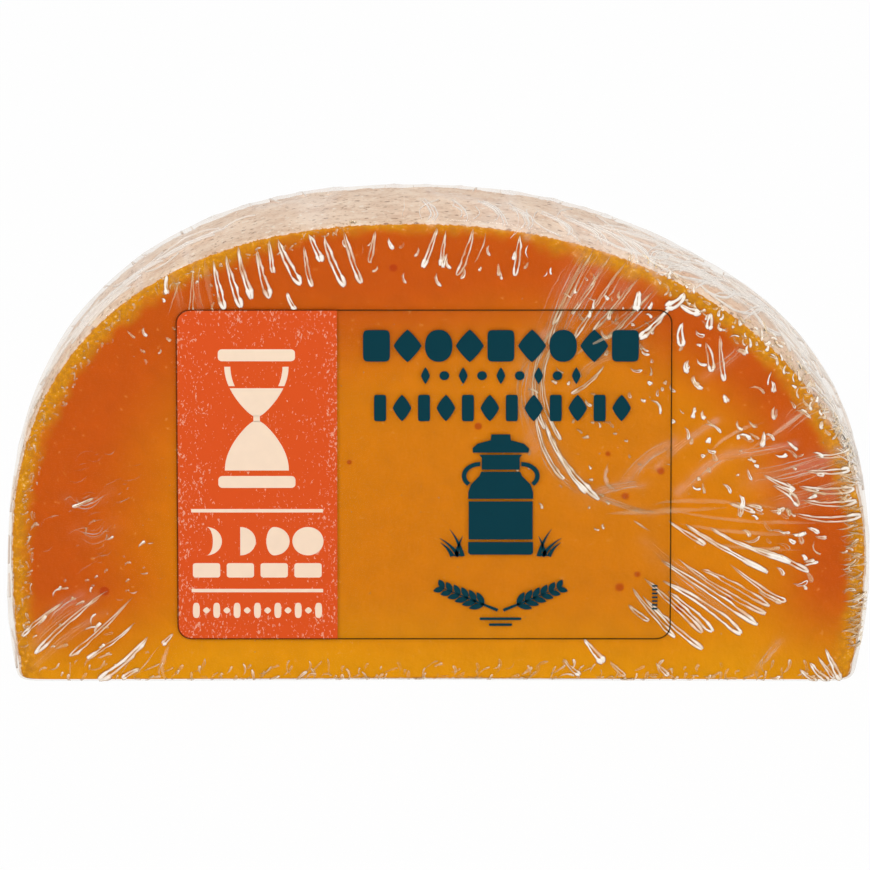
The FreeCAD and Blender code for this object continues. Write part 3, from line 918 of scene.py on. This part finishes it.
def veils(slab, grid):
    """How milky the sheet is where broad folds lie on the front cut and the rind: exp(-(d/w)^2)
    round each fold's path, broken by noise, and taken where it is greatest."""
    rows = len(slab.y) - slab.back_rows
    where = slab.unrolled()[:rows].reshape(-1, 2)
    broken = 0.75 + 0.8 * noise(grid[:rows].reshape(-1, 3), 2.6, 77, 3)
    total = np.zeros(len(where))
    folds = np.concatenate([BROAD_VEILS, RIND_VEILS])
    paths, _ = curve(folds, np.linspace(0, 1, 14))
    for path, (width, bright) in zip(paths, folds[:, 6:]):
        near = np.full(len(where), 1e9)
        for first, second in zip(path[:-1], path[1:]):
            run = second - first
            along = np.clip((where - first) @ run / (run @ run), 0, 1)
            away = where - first - along[:, None] * run
            near = np.minimum(near, (away**2).sum(1))
        total = np.maximum(total, 0.6 * bright * np.exp(-near / (width / 2) ** 2))
    out = np.zeros(grid.shape[:2])
    out[:rows] = (total * broken).reshape(rows, -1)
    return out


def bundles(folds, seed):
    """Fine single lines that follow each veil, spread evenly over its width with random play."""
    rng = np.random.default_rng(seed)
    rows = []
    for fold in np.asarray(folds):
        wide = fold[6]
        count = max(3, int(wide * 1.3))
        run = fold[4:6] - fold[0:2]
        aside = np.array([-run[1], run[0]]) / np.hypot(*run)
        for k in range(count):
            off = ((k + rng.uniform(0.1, 0.9)) / count - 0.5) * wide
            lead, tail = rng.uniform(-0.05, 0.25, 2)
            start = fold[0:2] + run * lead + aside * off
            middle = fold[2:4] + aside * off * rng.uniform(0.7, 1.2)
            end = fold[4:6] - run * tail + aside * off * rng.uniform(0.4, 1.4)
            width, bright = rng.uniform(0.12, 0.30), rng.uniform(0.25, 0.9)
            rows.append([*start, *middle, *end, 0.0, width, bright])
    return np.array(rows)


def gathers_on_back(slab, seed):
    """Rows like those of the long creases, on the back: each starts past the edge and runs towards
    a point low in the middle, turning a little."""
    rng = np.random.default_rng(seed)
    rows = []
    for count, first, last, run, width, bright in BACK_GATHERS:
        turn = (np.arange(count) + rng.uniform(0, 1, count)) / count
        angle = np.radians(first + turn * (last - first))
        edge = slab.reach(angle, slab.back - slab.middle) + rng.uniform(-1.0, 5.0, count)
        inner = edge - run * rng.uniform(0.35, 1.3, count)
        bend = rng.uniform(-0.05, 0.05, (2, count))
        stops = ((edge, angle), ((edge + inner) / 2, angle + bend[0]), (inner, angle + bend[1]))
        at = [slab.at(out, theta) for out, theta in stops]
        gap = np.where(rng.uniform(0, 1, count) < 0.4, 0.9, 0.0)
        sizes = [gap, width * rng.uniform(0.6, 1.4, count), bright * rng.uniform(0.4, 1.2, count)]
        rows.append(np.column_stack([*at, *sizes]))
    return np.concatenate(rows)


# Section of a crease's tube, from its left foot over the top and back under the sheet: how far
# aside and how high each corner is in widths of the tube, how far it is sunk in millimetres, how
# white it is, the film's whitening and on the glossy creases a painted highlight, and how dark,
# which is painted shade.
TUBE = np.array(
    (
        (1.25, 0.06, 0.01, 0.0, 1.0),
        (0.66, 0.30, 0.0, 0.8, 0.2),
        (0.42, 0.45, 0.0, 1.0, 0.0),
        (-0.42, 0.45, 0.0, 1.0, 0.0),
        (-0.66, 0.30, 0.0, 0.8, 0.2),
        (-1.25, 0.06, 0.01, 0.0, 1.0),
        (-1.1, 0.0, -0.42, 0.0, 0.0),
        (1.1, 0.0, -0.42, 0.0, 0.0),
    )
)


def crease_tubes(slab, surface, rows, rings, seed, painted_flank_shade=0.0, back=False, solid=False):
    """Creases as slim arched tubes whose foot is sunk through the film. A crease's path is the
    parabola through its start, middle and end. A loop has two lines: each leaves the path by half
    the gap times t^0.6 sqrt(1 - t^8), so that they start together and meet in a round end. Solid
    ones are milky all over, and thinner where they are weak. Gives points and faces, how white each
    point is, the film's whitening and on the glossy creases a painted highlight, and how dark, which
    is painted shade."""
    rows = np.concatenate([rows, rows])
    sides = np.repeat([1.0, -1.0], len(rows) // 2)
    keep = (rows[:, 6] > LOOP_GAP) | (sides > 0)
    rows, sides = rows[keep], sides[keep]
    gap, width, bright = rows[:, 6:].T[..., None]
    loop = gap > LOOP_GAP
    t = 1 - (1 - np.linspace(0, 1, rings)) ** 1.3
    path, slope = curve(rows, t)
    size = np.maximum(np.linalg.norm(slope, axis=-1, keepdims=True), 1e-6)
    aside = np.stack([-slope[..., 1], slope[..., 0]], -1) / size
    spread = sides[:, None] * gap / 2 * t**0.6 * np.sqrt(1 - np.minimum(t, 0.9999) ** 8)
    # The two lines of a loop vary on their own.
    lift = np.broadcast_to(sides[:, None] * 5, path.shape[:2])
    in_space = np.stack([path[..., 0], lift, path[..., 1]], -1)
    steady = noise(in_space, 2.4, seed, 2)
    fine = noise(in_space, 1.1, seed + 1, 1)
    shake = 0.2 * np.minimum(size[..., 0], 6) / 6 * (steady + 0.6 * fine)
    path = path + aside * (spread + shake)[..., None]
    points, normals = slab.place(surface, path[..., 0], path[..., 1], back)
    level = unit(np.cross(normals, unit(np.gradient(points, axis=1))))
    # A loop opens out in its first part and swells in its last; a single line narrows at both ends.
    opened, swollen, thinnest = 0.14, 0.82, 0.12
    taper = np.where(loop, t / opened, np.clip(np.sin(math.pi * t), 0, 1) ** 0.7)
    taper = np.clip(taper, thinnest, 1)
    wide = width * 0.6 * taper * (1 + 0.5 * fine) * np.where(loop & (t > swollen), 1.5, 1)
    if solid:
        wide = wide * np.clip(0.35 + 0.75 * bright * (0.8 + 0.6 * steady), 0.2, 1.2)
    across, up, sunk, white, shade = TUBE.T
    tallest = 0.6
    high = np.minimum(wide, tallest)[..., None] * up + sunk
    tubes = points[:, :, None] + level[:, :, None] * (wide[..., None] * across)[..., None]
    tubes = tubes + normals[:, :, None] * high[..., None]
    # Painted highlight together with the film's whitening: a crease's white, brightest at a loop's round
    # end.
    strength = bright * (0.8 + 0.6 * steady) * np.where(loop & (t > 0.8), 1.3, 1)
    strength = np.clip(strength, 0.08, 1.25) * taper**0.5
    on_cut = np.clip((-points[..., 1] - 11.0) / 1.5, 0, 1)  # none of the flanks' dark on the rind
    milk = strength[..., None] * white
    if solid:
        milk = np.ones_like(milk)
    # Painted shade: the flanks beside a crease on the front cut are tinted dark.
    dark = (strength * on_cut)[..., None] * shade * painted_flank_shade
    ends = np.zeros((len(rows), 2))
    paints = [np.concatenate([each.reshape(len(rows), -1), ends], 1) for each in (milk, dark)]
    return *many(tubes), *paints


# ---- Flat shapes of ink. An outline is a pair: its points, anticlockwise, and its centre. ----


def in_plane(ring, y):
    """Points of an outline in space, at a depth."""
    return np.stack([ring[:, 0], np.broadcast_to(y, len(ring)), ring[:, 1]], -1)


def plate(outline, front, thick):
    """A flat plate: rows from the middle of its front to the middle of its back."""
    ring, centre = outline
    rows = []
    for scale, y in ((0.5, front), (1, front), (1, front + thick), (0.5, front + thick)):
        rows.append(in_plane(centre + (ring - centre) * scale, y))
    return closed_grid(np.stack(rows))


def stamp(outline, face):
    """A plate of ink that stands a hair proud of the face at y = face."""
    return plate(outline, face - INK, 1.5 * INK)


def frame_band(outer, inner, front, thick):
    """A flat band between two outlines with as many points each, as a ring of rectangles."""
    back = front + thick
    grid = np.stack(
        [in_plane(inner, front), in_plane(outer, front), in_plane(outer, back), in_plane(inner, back)]
    )
    count, columns, _ = grid.shape
    i, j = np.mgrid[0:count, 0:columns]
    after, below = (j + 1) % columns, (i + 1) % count
    quads = np.stack(
        [i * columns + j, below * columns + j, below * columns + after, i * columns + after], -1
    )
    return grid.reshape(-1, 3), [quads.reshape(-1, 4)]


def rounded(x, z, width, height, corner, count=10, corners=(1, 1, 1, 1)):
    """Outline of a rounded rectangle about (x, z), from the lower right corner."""
    turn = np.linspace(0, math.pi / 2, count)
    parts = []
    for quarter, (sx, sz) in enumerate(((1, -1), (1, 1), (-1, 1), (-1, -1))):
        r = max(corner * corners[quarter], 0.02)
        angle = turn + (quarter - 1) * math.pi / 2
        cx, cz = x + sx * (width / 2 - r), z + sz * (height / 2 - r)
        parts.append(np.stack([cx + r * np.cos(angle), cz + r * np.sin(angle)], -1))
    return np.concatenate(parts), np.array([x, z])


def disc(x, z, width, height, power, count=32):
    """Outline of a superellipse about (x, z): power 1 is a lozenge, 2 an ellipse."""
    t = np.arange(count) / count * TAU
    c, s = np.cos(t), np.sin(t)
    px = width / 2 * np.sign(c) * np.abs(c) ** (2 / power)
    pz = height / 2 * np.sign(s) * np.abs(s) ** (2 / power)
    return np.stack([x + px, z + pz], -1), np.array([x, z])


def ribbon(first, second, face):
    """Ink between two open curves with as many points each, a hair proud of the face at y = face:
    four corners at each step along, closed at both ends."""
    near, far = face - INK, face + INK / 2
    corners = [in_plane(first, near), in_plane(first, far), in_plane(second, far), in_plane(second, near)]
    return many(np.stack(corners, 1)[None])


def profile_shape(x, z, half_widths, face):
    """A flat shape symmetric about x, from rows of (height above z, half-width)."""
    rows = np.asarray(half_widths)
    height = np.linspace(rows[0, 0], rows[-1, 0], 60)
    half = np.interp(height, rows[:, 0], rows[:, 1])
    left, right = (np.stack([x + side * half, z + height], -1) for side in (-1, 1))
    return ribbon(right, left, face)


def leaf(x, z, size, width, turn, face):
    """A pointed leaf from (x, z) in a direction: two arcs sin(pi t) either side of its rib."""
    t = np.linspace(0, 1, 14)
    c, s = facing(turn)
    side = width / 2 * np.sin(math.pi * t) ** 0.8
    rib = np.stack([x + size * t * c, z + size * t * s], -1)
    aside = np.stack([-s * side, c * side], -1)
    return ribbon(rib - aside, rib + aside, face)


def blade(x, z, size, width, turn, bend, face):
    """A blade of grass or a stem: a strip that narrows to its tip and curves as t^2."""
    t = np.linspace(0, 1, 16)
    angle = np.radians(turn + bend * t)
    step = size / 15 * np.stack([np.cos(angle), np.sin(angle)], -1)
    rib = np.array([x, z]) + np.cumsum(step, axis=0) - step[0]
    aside = np.stack([-np.sin(angle), np.cos(angle)], -1) * (width / 2 * (1 - 0.9 * t))[:, None]
    return ribbon(rib - aside, rib + aside, face)


def arc(x, z, wide, high, t):
    """Points on an ellipse about (x, z), at angles t from the right."""
    return np.stack([x + wide * np.cos(t), z + high * np.sin(t)], -1)


def aim(place, target):
    """Rotation that looks from place to target with Z up."""
    x, y, z = np.asarray(target) - place
    return (math.atan2(math.hypot(x, y), -z), 0, math.atan2(-x, y))


# ---- Operators ----


class SLAB_OT_cheese(bpy.types.Operator):
    """Makes the slab of cheese: two waxy cuts, a broken edge and a pitted rind."""

    bl_idname = "slab.cheese"
    bl_label = "Cheese"

    def execute(self, context):
        shape = context.scene.slab_shape
        slab = Slab(shape, 0.0, 0.0, 0.0, 0.0, (40, 8, 36, 18))
        grid = slab.grid()
        edge = slab.edge_distance()
        # The rind swells and sinks over centimetres, and is rough over millimetres.
        rind = slab.rind_weight[:, None] * np.ones(len(slab.theta))
        swell = noise(grid, 11.0, 3, 2) * 0.5 + noise(grid, 2.6, 4, 2) * 0.5
        relief = rind * shape.rind_relief * (swell - 0.6)
        # Its edge breaks away in crumbs, deepest right at the edge and gone 3 mm further in.
        near_edge = np.exp(-((edge / 1.3) ** 2)) * (1 - 0.55 * rind)
        small = np.clip(noise(grid, 1.5, 8, 2) + 0.15, 0, 1)
        large = np.clip(noise(grid, 4.0, 9, 1), 0, 1)
        from_cut = np.minimum(slab.y - slab.front, slab.back - slab.y)
        at_cut = np.clip(1 - from_cut / 6.0, 0, 1)[:, None]
        above = ease((grid[..., 2] - CHEESE[0, 2] - 1.0) / 3.0)
        relief = (relief - shape.crumble * (small + 0.5 * large) * near_edge * at_cut) * above
        # The poles, in the middle of each cut, lie deep inside the rind.
        inside, on_rind = np.append(edge.ravel(), [60.0, 60.0]), np.append(rind.ravel(), [0.0, 0.0])
        surface = closed_grid(grid + outward(grid) * relief[..., None])
        material = cheese_material(context.scene.slab_colours)
        paints = (("edge_mm", inside), ("rind", on_rind))
        mesh_piece("cheese_slab", *surface, material, "cheese", ("cheese",), paints)
        return {"FINISHED"}


class SLAB_OT_film(bpy.types.Operator):
    """Makes the sheet of stretch film round the cheese, with its tents, pleats and gathers."""

    bl_idname = "slab.film"
    bl_label = "Film"

    def execute(self, context):
        film = context.scene.film_shape
        slab, grid, pleats, gathers = film_surface(context.scene)
        theta = np.broadcast_to(slab.theta[None, :], pleats.shape)
        along = np.clip((slab.y - slab.middle) / (CHEESE[1, 1] - CHEESE[0, 1]), 0, 1)[:, None]
        rind = slab.rind_weight[:, None]
        lifted = film_stand_off(film)(theta, along) * rind
        milk = 0.4 * rind + lifted * 0.35 + pleats * 1.5 + gathers * 1.8
        milk = milk + 0.5 * (grid[..., 1] > slab.back - 1.0) + veils(slab, grid)
        clear_front, milky_back = 0.0, 1.0
        paints = (("haze", np.append(milk.ravel(), [clear_front, milky_back])),)
        material = film_material("clear_stretch_film", film.haze, 0.35, 0.06, "FCFAF7", 0.35)
        mesh_piece("film_sheet", *closed_grid(grid), material, "film", ("film",), paints)
        return {"FINISHED"}


class SLAB_OT_creases(bpy.types.Operator):
    """Makes the film's creases: tight glossy ones, broad milky ones, and fine folds. The white of
    the tight ones is partly a painted highlight, and their dark flanks are painted shade.
    """

    bl_idname = "slab.creases"
    bl_label = "Creases"

    def execute(self, context):
        gloss = context.scene.film_shape.crease_gloss
        slab, grid, _, _ = film_surface(context.scene)
        surface = (grid, outward(grid))
        over_rind = np.concatenate([varied(SHOULDER_FOLDS, 12), bundles(RIND_VEILS, 9)])
        # Name, rows, rings along a tube, seed, haze, painted shade of the flanks, on the back, solid.
        kinds = (
            ("film_creases", LONG_CREASES, 18, 21, 1.0, 0.8, False, False),
            ("film_crinkles", varied(SMALL_CREASES, 5), 5, 34, 1.0, 0.6, False, False),
            ("film_folds", MILKY_FOLDS, 14, 55, 0.55, 0.0, False, False),
            ("film_shoulder", over_rind, 14, 91, 1.0, 0.0, False, True),
            ("film_streaks", bundles(BROAD_VEILS, 8), 14, 66, 0.55, 0.1, False, False),
            ("film_back_folds", gathers_on_back(slab, 3), 12, 17, 1.0, 0.0, True, True),
        )
        for name, rows, rings, seed, haze, painted_flank_shade, back, solid in kinds:
            tubes = crease_tubes(slab, surface, rows, rings, seed, painted_flank_shade, back, solid)
            points, faces, milk, dark = tubes
            milky = "F3EBE3" if solid else "FFF9F0"
            material = film_material(f"{name}_stretched", haze, gloss, 0.08, "FEFDFA", 0.4, milky)
            paints = (("haze", milk), ("painted_flank_shade", dark))
            mesh_piece(name, points, faces, material, "film", (), paints)
        return {"FINISHED"}


class SLAB_OT_label(bpy.types.Operator):
    """Makes the label: a clear plate, its opaque panel and a dark line along its cut edge, which is
    painted shade.
    """

    bl_idname = "slab.label"
    bl_label = "Label"

    def execute(self, context):
        design = context.scene.label_design
        front, thick = LABEL[0, 1], LABEL[1, 1] - LABEL[0, 1]
        width, _, height = LABEL[1] - LABEL[0]
        x, _, z = LABEL.mean(0)
        outer = rounded(x, z, width, height, design.corner)
        line = design.hairline
        inner = rounded(x, z, width - 2 * line, height - 2 * line, design.corner - line)
        clear = film_material("clear_label_film", 0.05, 0.25, 0.12, "FEFDFC", 0.3)
        mesh_piece("label_clear", *plate(outer, front, thick), clear, "label", ("label",), smooth=False)
        x = LABEL[0, 0] + design.panel_width / 2
        ring = rounded(x, z, design.panel_width, height, design.corner, corners=(0, 0, 1, 1))
        panel = self.panel_material(design)
        mesh_piece("label_panel", *plate(ring, front - PANEL, 0.06), panel, "label", smooth=False)
        band = frame_band(outer[0], inner[0], front - 0.035, 0.08)
        mesh_piece("label_edge", *band, self.edge_shade_material(), "label", smooth=False)
        return {"FINISHED"}

    @staticmethod
    def panel_material(design):
        """Opaque flexographic print, deliberately worn: the ink is broken by specks and scratches
        that crowd along its edges and let a paler coat through."""
        m = new_material("printed_label_panel")
        where = add(m, "TexCoord", out="Object")
        x, _, z = LABEL.mean(0)
        x, wide = LABEL[0, 0] + design.panel_width / 2, design.panel_width / 2
        tall = (LABEL[1, 2] - LABEL[0, 2]) / 2
        worn = 0.0
        for axis, middle, half, start in (("X", x, wide, 0.45), ("Z", z, tall, 0.75)):
            from_middle = add(m, "Math", add(m, "SeparateXYZ", where, out=axis), middle * MM, **LESS)
            away = add(m, "Math", from_middle, operation="ABSOLUTE")
            near = add(m, "MapRange", away, half * MM * start, half * MM, **SMOOTH)
            worn = add(m, "Math", worn, near, **MORE)
        level = add(m, "Math", worn, -0.07, 0.655, **LINE)
        patch = add(m, "Math", pattern(m, "TexNoise", 6.0), 0.25, -0.125, **LINE)
        rough = {"Roughness": 0.65, "Distortion": 0.6}
        speck = add(m, "Math", pattern(m, "TexNoise", 0.6, (0.8, 1, 1.4), **rough), patch)
        bare = add(m, "MapRange", add(m, "Math", speck, level, **LESS), 0.0, 0.05, 0, 0.38, **SMOOTH)
        colour = add(m, "Mix", {0: bare, 6: design.panel, 7: design.cream}, **BLEND)
        inputs = {"Base Color": colour, "Roughness": 0.38, "Specular IOR Level": 0.08}
        add(m, "OutputMaterial", add(m, "BsdfPrincipled", inputs))
        return m

    @staticmethod
    def edge_shade_material():
        """Painted shade: a dark, partly clear band along the die-cut edge of the label film, for the
        light that the edge turns away.
        """
        m = new_material("die_cut_label_edge_painted_shade")
        dark = add(m, "BsdfDiffuse", {"Color": linear("3A2E14")})
        add(m, "OutputMaterial", add(m, "MixShader", 0.62, add(m, "BsdfTransparent"), dark))
        return m


class SLAB_OT_cream_print(bpy.types.Operator):
    """Prints the panel in cream: an hourglass, two rules, three moons and a row of beads."""

    bl_idname = "slab.cream_print"
    bl_label = "Cream print"

    def execute(self, context):
        design = context.scene.label_design
        face = LABEL[0, 1] - PANEL
        x = LABEL[0, 0] + design.panel_width / 2
        parts = self.hourglass(x, 62.5, face)
        parts += [stamp(rounded(x, z, 28.4, 0.8, 0.1, 3), face) for z in (40.8, 21.9)]
        parts += self.moons(x, 33.6, face)
        for index in range(13):
            height, power = ((3.6, 3.0), (1.5, 1.4))[index % 2]
            parts.append(stamp(disc(x + (index - 6) * 2.2, 17.2, 1.5, height, power, 20), face))
        ink = ink_material("cream_label_ink", design.cream)
        mesh_piece("label_cream_print", *join(parts), ink, "label", smooth=False)
        return {"FINISHED"}

    @staticmethod
    def hourglass(x, z, face):
        """Two caps and two bulbs that meet in a neck. A bulb's half-width goes as sin(t)^0.8, with
        t from the neck to the cap, and the upper one has a gap for the glass over the sand."""
        t = np.linspace(0, 1, 24)
        bulb = np.column_stack([0.6 + 11.6 * t, 0.7 + 6.2 * np.sin(t * math.pi / 2) ** 0.8])
        parts = [stamp(rounded(x, z + cap, 16.6, 2.8, 0.9, 6), face) for cap in (-14.9, 14.9)]
        lower = (bulb * [-1, 1])[::-1]
        sand = bulb[bulb[:, 0] < 7.6]
        neck = [[-0.7, 0.7], [0.7, 0.7]]
        parts += [profile_shape(x, z, rows, face) for rows in (lower, sand, neck)]
        rim = bulb[bulb[:, 0] > 7.4]
        for side in (-1, 1):
            outer = np.column_stack([x + side * rim[:, 1], z + rim[:, 0]])
            inner = outer - [side * 1.3, 0]
            parts.append(ribbon(outer, inner, face) if side > 0 else ribbon(inner, outer, face))
        return parts

    @staticmethod
    def moons(x, z, face):
        """A waxing crescent, a half moon, a gibbous moon and a full one, each over a bar. The lit
        part lies between the disc's edge and half an ellipse."""
        parts = []
        radius = 3.35
        t = np.linspace(-math.pi / 2, math.pi / 2, 30)
        for index, lit in enumerate((0.42, 0.0, -0.5, -1.0)):
            at = x + (index - 1.5) * 7.3
            parts.append(ribbon(arc(at, z, radius, radius, t), arc(at, z, radius * lit, radius, t), face))
            parts.append(stamp(rounded(at, z - 6.9, 5.9, 3.4, 0.6, 5), face))
        return parts


class SLAB_OT_teal_print(bpy.types.Operator):
    """Prints the clear part in dark ink: three rows of ornaments, a milk churn in grass, a sprig
    and a column of ticks."""

    bl_idname = "slab.teal_print"
    bl_label = "Dark print"

    def execute(self, context):
        face = LABEL[0, 1]
        parts = self.border(13.4, face) + self.churn(13.4, 30.4, face) + self.sprig(13.4, 20.6, face)
        for index in range(7):
            parts.append(stamp(rounded(46.7, 17.6 + index * 0.9, 1.2, 0.4, 0.05, 2), face))
        ink = ink_material("dark_label_ink", context.scene.label_design.teal)
        mesh_piece("label_dark_print", *join(parts), ink, "label", smooth=False)
        return {"FINISHED"}

    @staticmethod
    def border(x, face):
        """Rows of lozenges, discs and squares. Each row: z, pitch, width, height and power of its
        shapes in turn, and how many there are."""
        rows = (
            (79.6, 6.68, ((5.8, 7.4, 7.0), (6.0, 7.6, 1.15), (5.9, 7.5, 2.2), (6.0, 7.6, 1.15)), 9),
            (72.6, 4.05, ((1.9, 3.9, 1.2), (2.1, 2.1, 2.0)), 9),
            (65.0, 4.72, ((2.6, 6.2, 9.0), (4.0, 6.2, 1.2)), 12),
        )
        parts = []
        for z, pitch, kinds, count in rows:
            for index in range(count):
                at = x + (index - (count - 1) / 2) * pitch
                parts.append(stamp(disc(at, z, *kinds[index % len(kinds)], 36), face))
        return parts

    @staticmethod
    def churn(x, z, face):
        """A milk churn: belly, shoulder, neck and lid as bands, two handles, and grass beside it."""
        bands = (
            ((0.0, 6.6), (0.5, 7.0), (3.0, 7.0)),
            ((3.6, 6.9), (12.6, 6.9)),
            ((13.2, 7.0), (14.8, 7.0), (16.6, 6.4), (18.6, 4.6), (19.6, 4.2)),
            ((20.1, 4.1), (22.9, 4.1), (23.6, 4.6)),
            ((24.1, 6.0), (25.1, 6.1), (26.2, 5.0), (27.0, 2.2), (28.4, 2.0)),
        )
        grass = ((80, 7.0, 25, 8.2), (62, 6.0, 30, 9.0), (96, 5.0, -20, 9.6), (70, 4.2, 35, 10.4))
        parts = [profile_shape(x, z, band, face) for band in bands]
        t = np.linspace(-0.5, 1, 20) * math.pi / 2
        for side in (-1, 1):
            outer = arc(x + side * 4.4, z + 18.6, side * 4.0, 3.3, t)
            inner = arc(x + side * 4.4, z + 18.6, side * 3.0, 2.3, t)
            parts.append(ribbon(outer, inner, face) if side > 0 else ribbon(inner, outer, face))
            for lean, size, bend, off in grass:
                turn = lean if side > 0 else 180 - lean
                parts.append(blade(x + side * off, z - 0.4, size, 1.0, turn, -side * bend, face))
        return parts

    @staticmethod
    def sprig(x, z, face):
        """Two ears of grass that lean apart, each a stem with paired leaves, over two rules."""
        parts = []
        for side, turn in ((-1, 156), (1, 24)):
            foot = np.array([x + side * 0.6, z - 3.4])
            parts.append(blade(*foot, 14.0, 0.7, turn, 0, face))
            for step in range(6):
                at = foot + (3.2 + step * 1.9) * np.array(facing(turn))
                for lean in (-38, 38):
                    parts.append(leaf(*at, 3.4 - 0.2 * step, 1.3, turn + lean, face))
        for width, drop in ((9.0, 5.4), (5.0, 6.8)):
            parts.append(stamp(rounded(x, z - drop, width, 0.6, 0.2, 3), face))
        return parts


class SLAB_OT_stage(bpy.types.Operator):
    """Sets up the floor, the lamps and the camera."""

    bl_idname = "slab.stage"
    bl_label = "Stage"

    def execute(self, context):
        scene = context.scene
        stage = scene.slab_stage
        scene.view_settings.view_transform = "Standard"
        self.lay_floor(scene)
        self.light_world(scene, stage.sky)
        self.hang_lamps(scene, stage.key)
        self.set_camera(scene, stage)
        return {"FINISHED"}

    @staticmethod
    def seen(m, camera, mirror):
        """How much of the plain white shows to an eye ray and to a mirrored or bent ray."""
        kinds = ("Is Camera Ray", "Is Glossy Ray", "Is Transmission Ray")
        eye, glossy, through = (add(m, "LightPath", out=kind) for kind in kinds)
        bent = add(m, "Math", glossy, through, **MORE)
        shares = (add(m, "Math", eye, camera, **TIMES), add(m, "Math", bent, mirror, **TIMES))
        return add(m, "Math", *shares, **MORE)

    def lay_floor(self, scene):
        """A plain pale floor that shows white with a soft shadow."""
        mesh = bpy.data.meshes.new("floor")
        corners = [(-3, -3, 0), (3, -3, 0), (3, 3, 0), (-3, 3, 0)]
        mesh.from_pydata(corners, [], [(0, 1, 2, 3)])
        m = new_material("painted_studio_floor")
        matt = add(m, "BsdfDiffuse", {"Color": linear("EAEAEA")})
        plain = add(m, "Emission", {"Color": linear("FFFFFF"), "Strength": 1.0})
        add(m, "OutputMaterial", add(m, "MixShader", self.seen(m, 0.975, 0.93), matt, plain))
        mesh.materials.append(m)
        floor = bpy.data.objects.new("floor", mesh)
        scene.collection.objects.link(floor)

    def light_world(self, scene, sky):
        """Even light from all round, plain white to the eye and in mirrors."""
        world = bpy.data.worlds.new("studio")
        world.use_nodes = True
        world.node_tree.nodes.clear()
        even, plain = (
            add(world, "Background", {"Color": linear("FFFFFF"), "Strength": strength})
            for strength in (sky, 1.0)
        )
        mixed = add(world, "MixShader", self.seen(world, 1.0, 1.0), even, plain)
        add(world, "OutputWorld", mixed)
        scene.world = world

    @staticmethod
    def hang_lamps(scene, key):
        """A broad lamp above the camera, and small hard ones round it for the film's sparkle."""
        lamps = (
            ("key", (-0.35, -1.30, 1.55), 0.9, key),
            ("left", (-0.75, -0.55, 0.35), 0.16, 1.3),
            ("right", (0.80, -0.50, 0.40), 0.16, 1.3),
            ("high", (0.15, -0.45, 1.00), 0.14, 1.1),
            ("behind", (0.20, 0.90, 0.95), 0.30, 1.6),
        )
        target = np.array([0, 0, CHEESE[:, 2].mean() * MM])
        for name, place, size, power in lamps:
            lamp = bpy.data.lights.new(name, "AREA")
            lamp.size = size
            lamp.energy = power
            thing = bpy.data.objects.new(name, lamp)
            thing.location = place
            thing.rotation_euler = aim(np.array(place), target)
            scene.collection.objects.link(thing)

    @staticmethod
    def set_camera(scene, stage):
        """A long lens, on a line of sight through a point behind the front cut and above the foot."""
        camera = bpy.data.cameras.new("camera")
        camera.sensor_width = 36
        camera.lens = camera.sensor_width * stage.distance / stage.frame_width
        thing = bpy.data.objects.new("camera", camera)
        e = stage.camera_height
        x, behind, above = -0.75, 15, 51.45
        z = above + CHEESE[0, 2] + (behind + CHEESE[0, 1]) * math.tan(e)
        target = np.array([x, 0, z]) * MM
        place = target + stage.distance * MM * np.array([0, -math.cos(e), math.sin(e)])
        thing.location = place
        thing.rotation_euler = aim(place, target)
        scene.collection.objects.link(thing)
        scene.camera = thing


class SLAB_PT_panel(bpy.types.Panel):
    """Lists the pieces and their settings."""

    bl_idname = "SLAB_PT_panel"
    bl_label = "Mimolette slab"
    bl_space_type = "VIEW_3D"
    bl_region_type = "UI"
    bl_category = "Slab"

    def draw(self, context):
        for name, _ in SETTINGS:
            box = self.layout.box()
            group = getattr(context.scene, name)
            for key in group.__annotations__:
                box.prop(group, key)
        for operator in OPERATORS:
            self.layout.operator(operator.bl_idname)


SETTINGS = (
    ("slab_shape", SlabShape),
    ("slab_colours", SlabColours),
    ("film_shape", FilmShape),
    ("label_design", LabelDesign),
    ("slab_stage", StageSettings),
)
OPERATORS = (
    SLAB_OT_cheese,
    SLAB_OT_film,
    SLAB_OT_creases,
    SLAB_OT_label,
    SLAB_OT_cream_print,
    SLAB_OT_teal_print,
    SLAB_OT_stage,
)


def register():
    for name, group in SETTINGS:
        bpy.utils.register_class(group)
        setattr(bpy.types.Scene, name, PointerProperty(type=group))
    for operator in OPERATORS:
        bpy.utils.register_class(operator)
    bpy.utils.register_class(SLAB_PT_panel)


def unregister():
    bpy.utils.unregister_class(SLAB_PT_panel)
    for operator in reversed(OPERATORS):
        bpy.utils.unregister_class(operator)
    for name, group in reversed(SETTINGS):
        delattr(bpy.types.Scene, name)
        bpy.utils.unregister_class(group)


def main():
    """Makes every piece and the stage."""
    register()
    bpy.ops.slab.cheese()
    bpy.ops.slab.film()
    bpy.ops.slab.creases()
    bpy.ops.slab.label()
    bpy.ops.slab.cream_print()
    bpy.ops.slab.teal_print()
    bpy.ops.slab.stage()


if __name__ == "__main__":
    main()
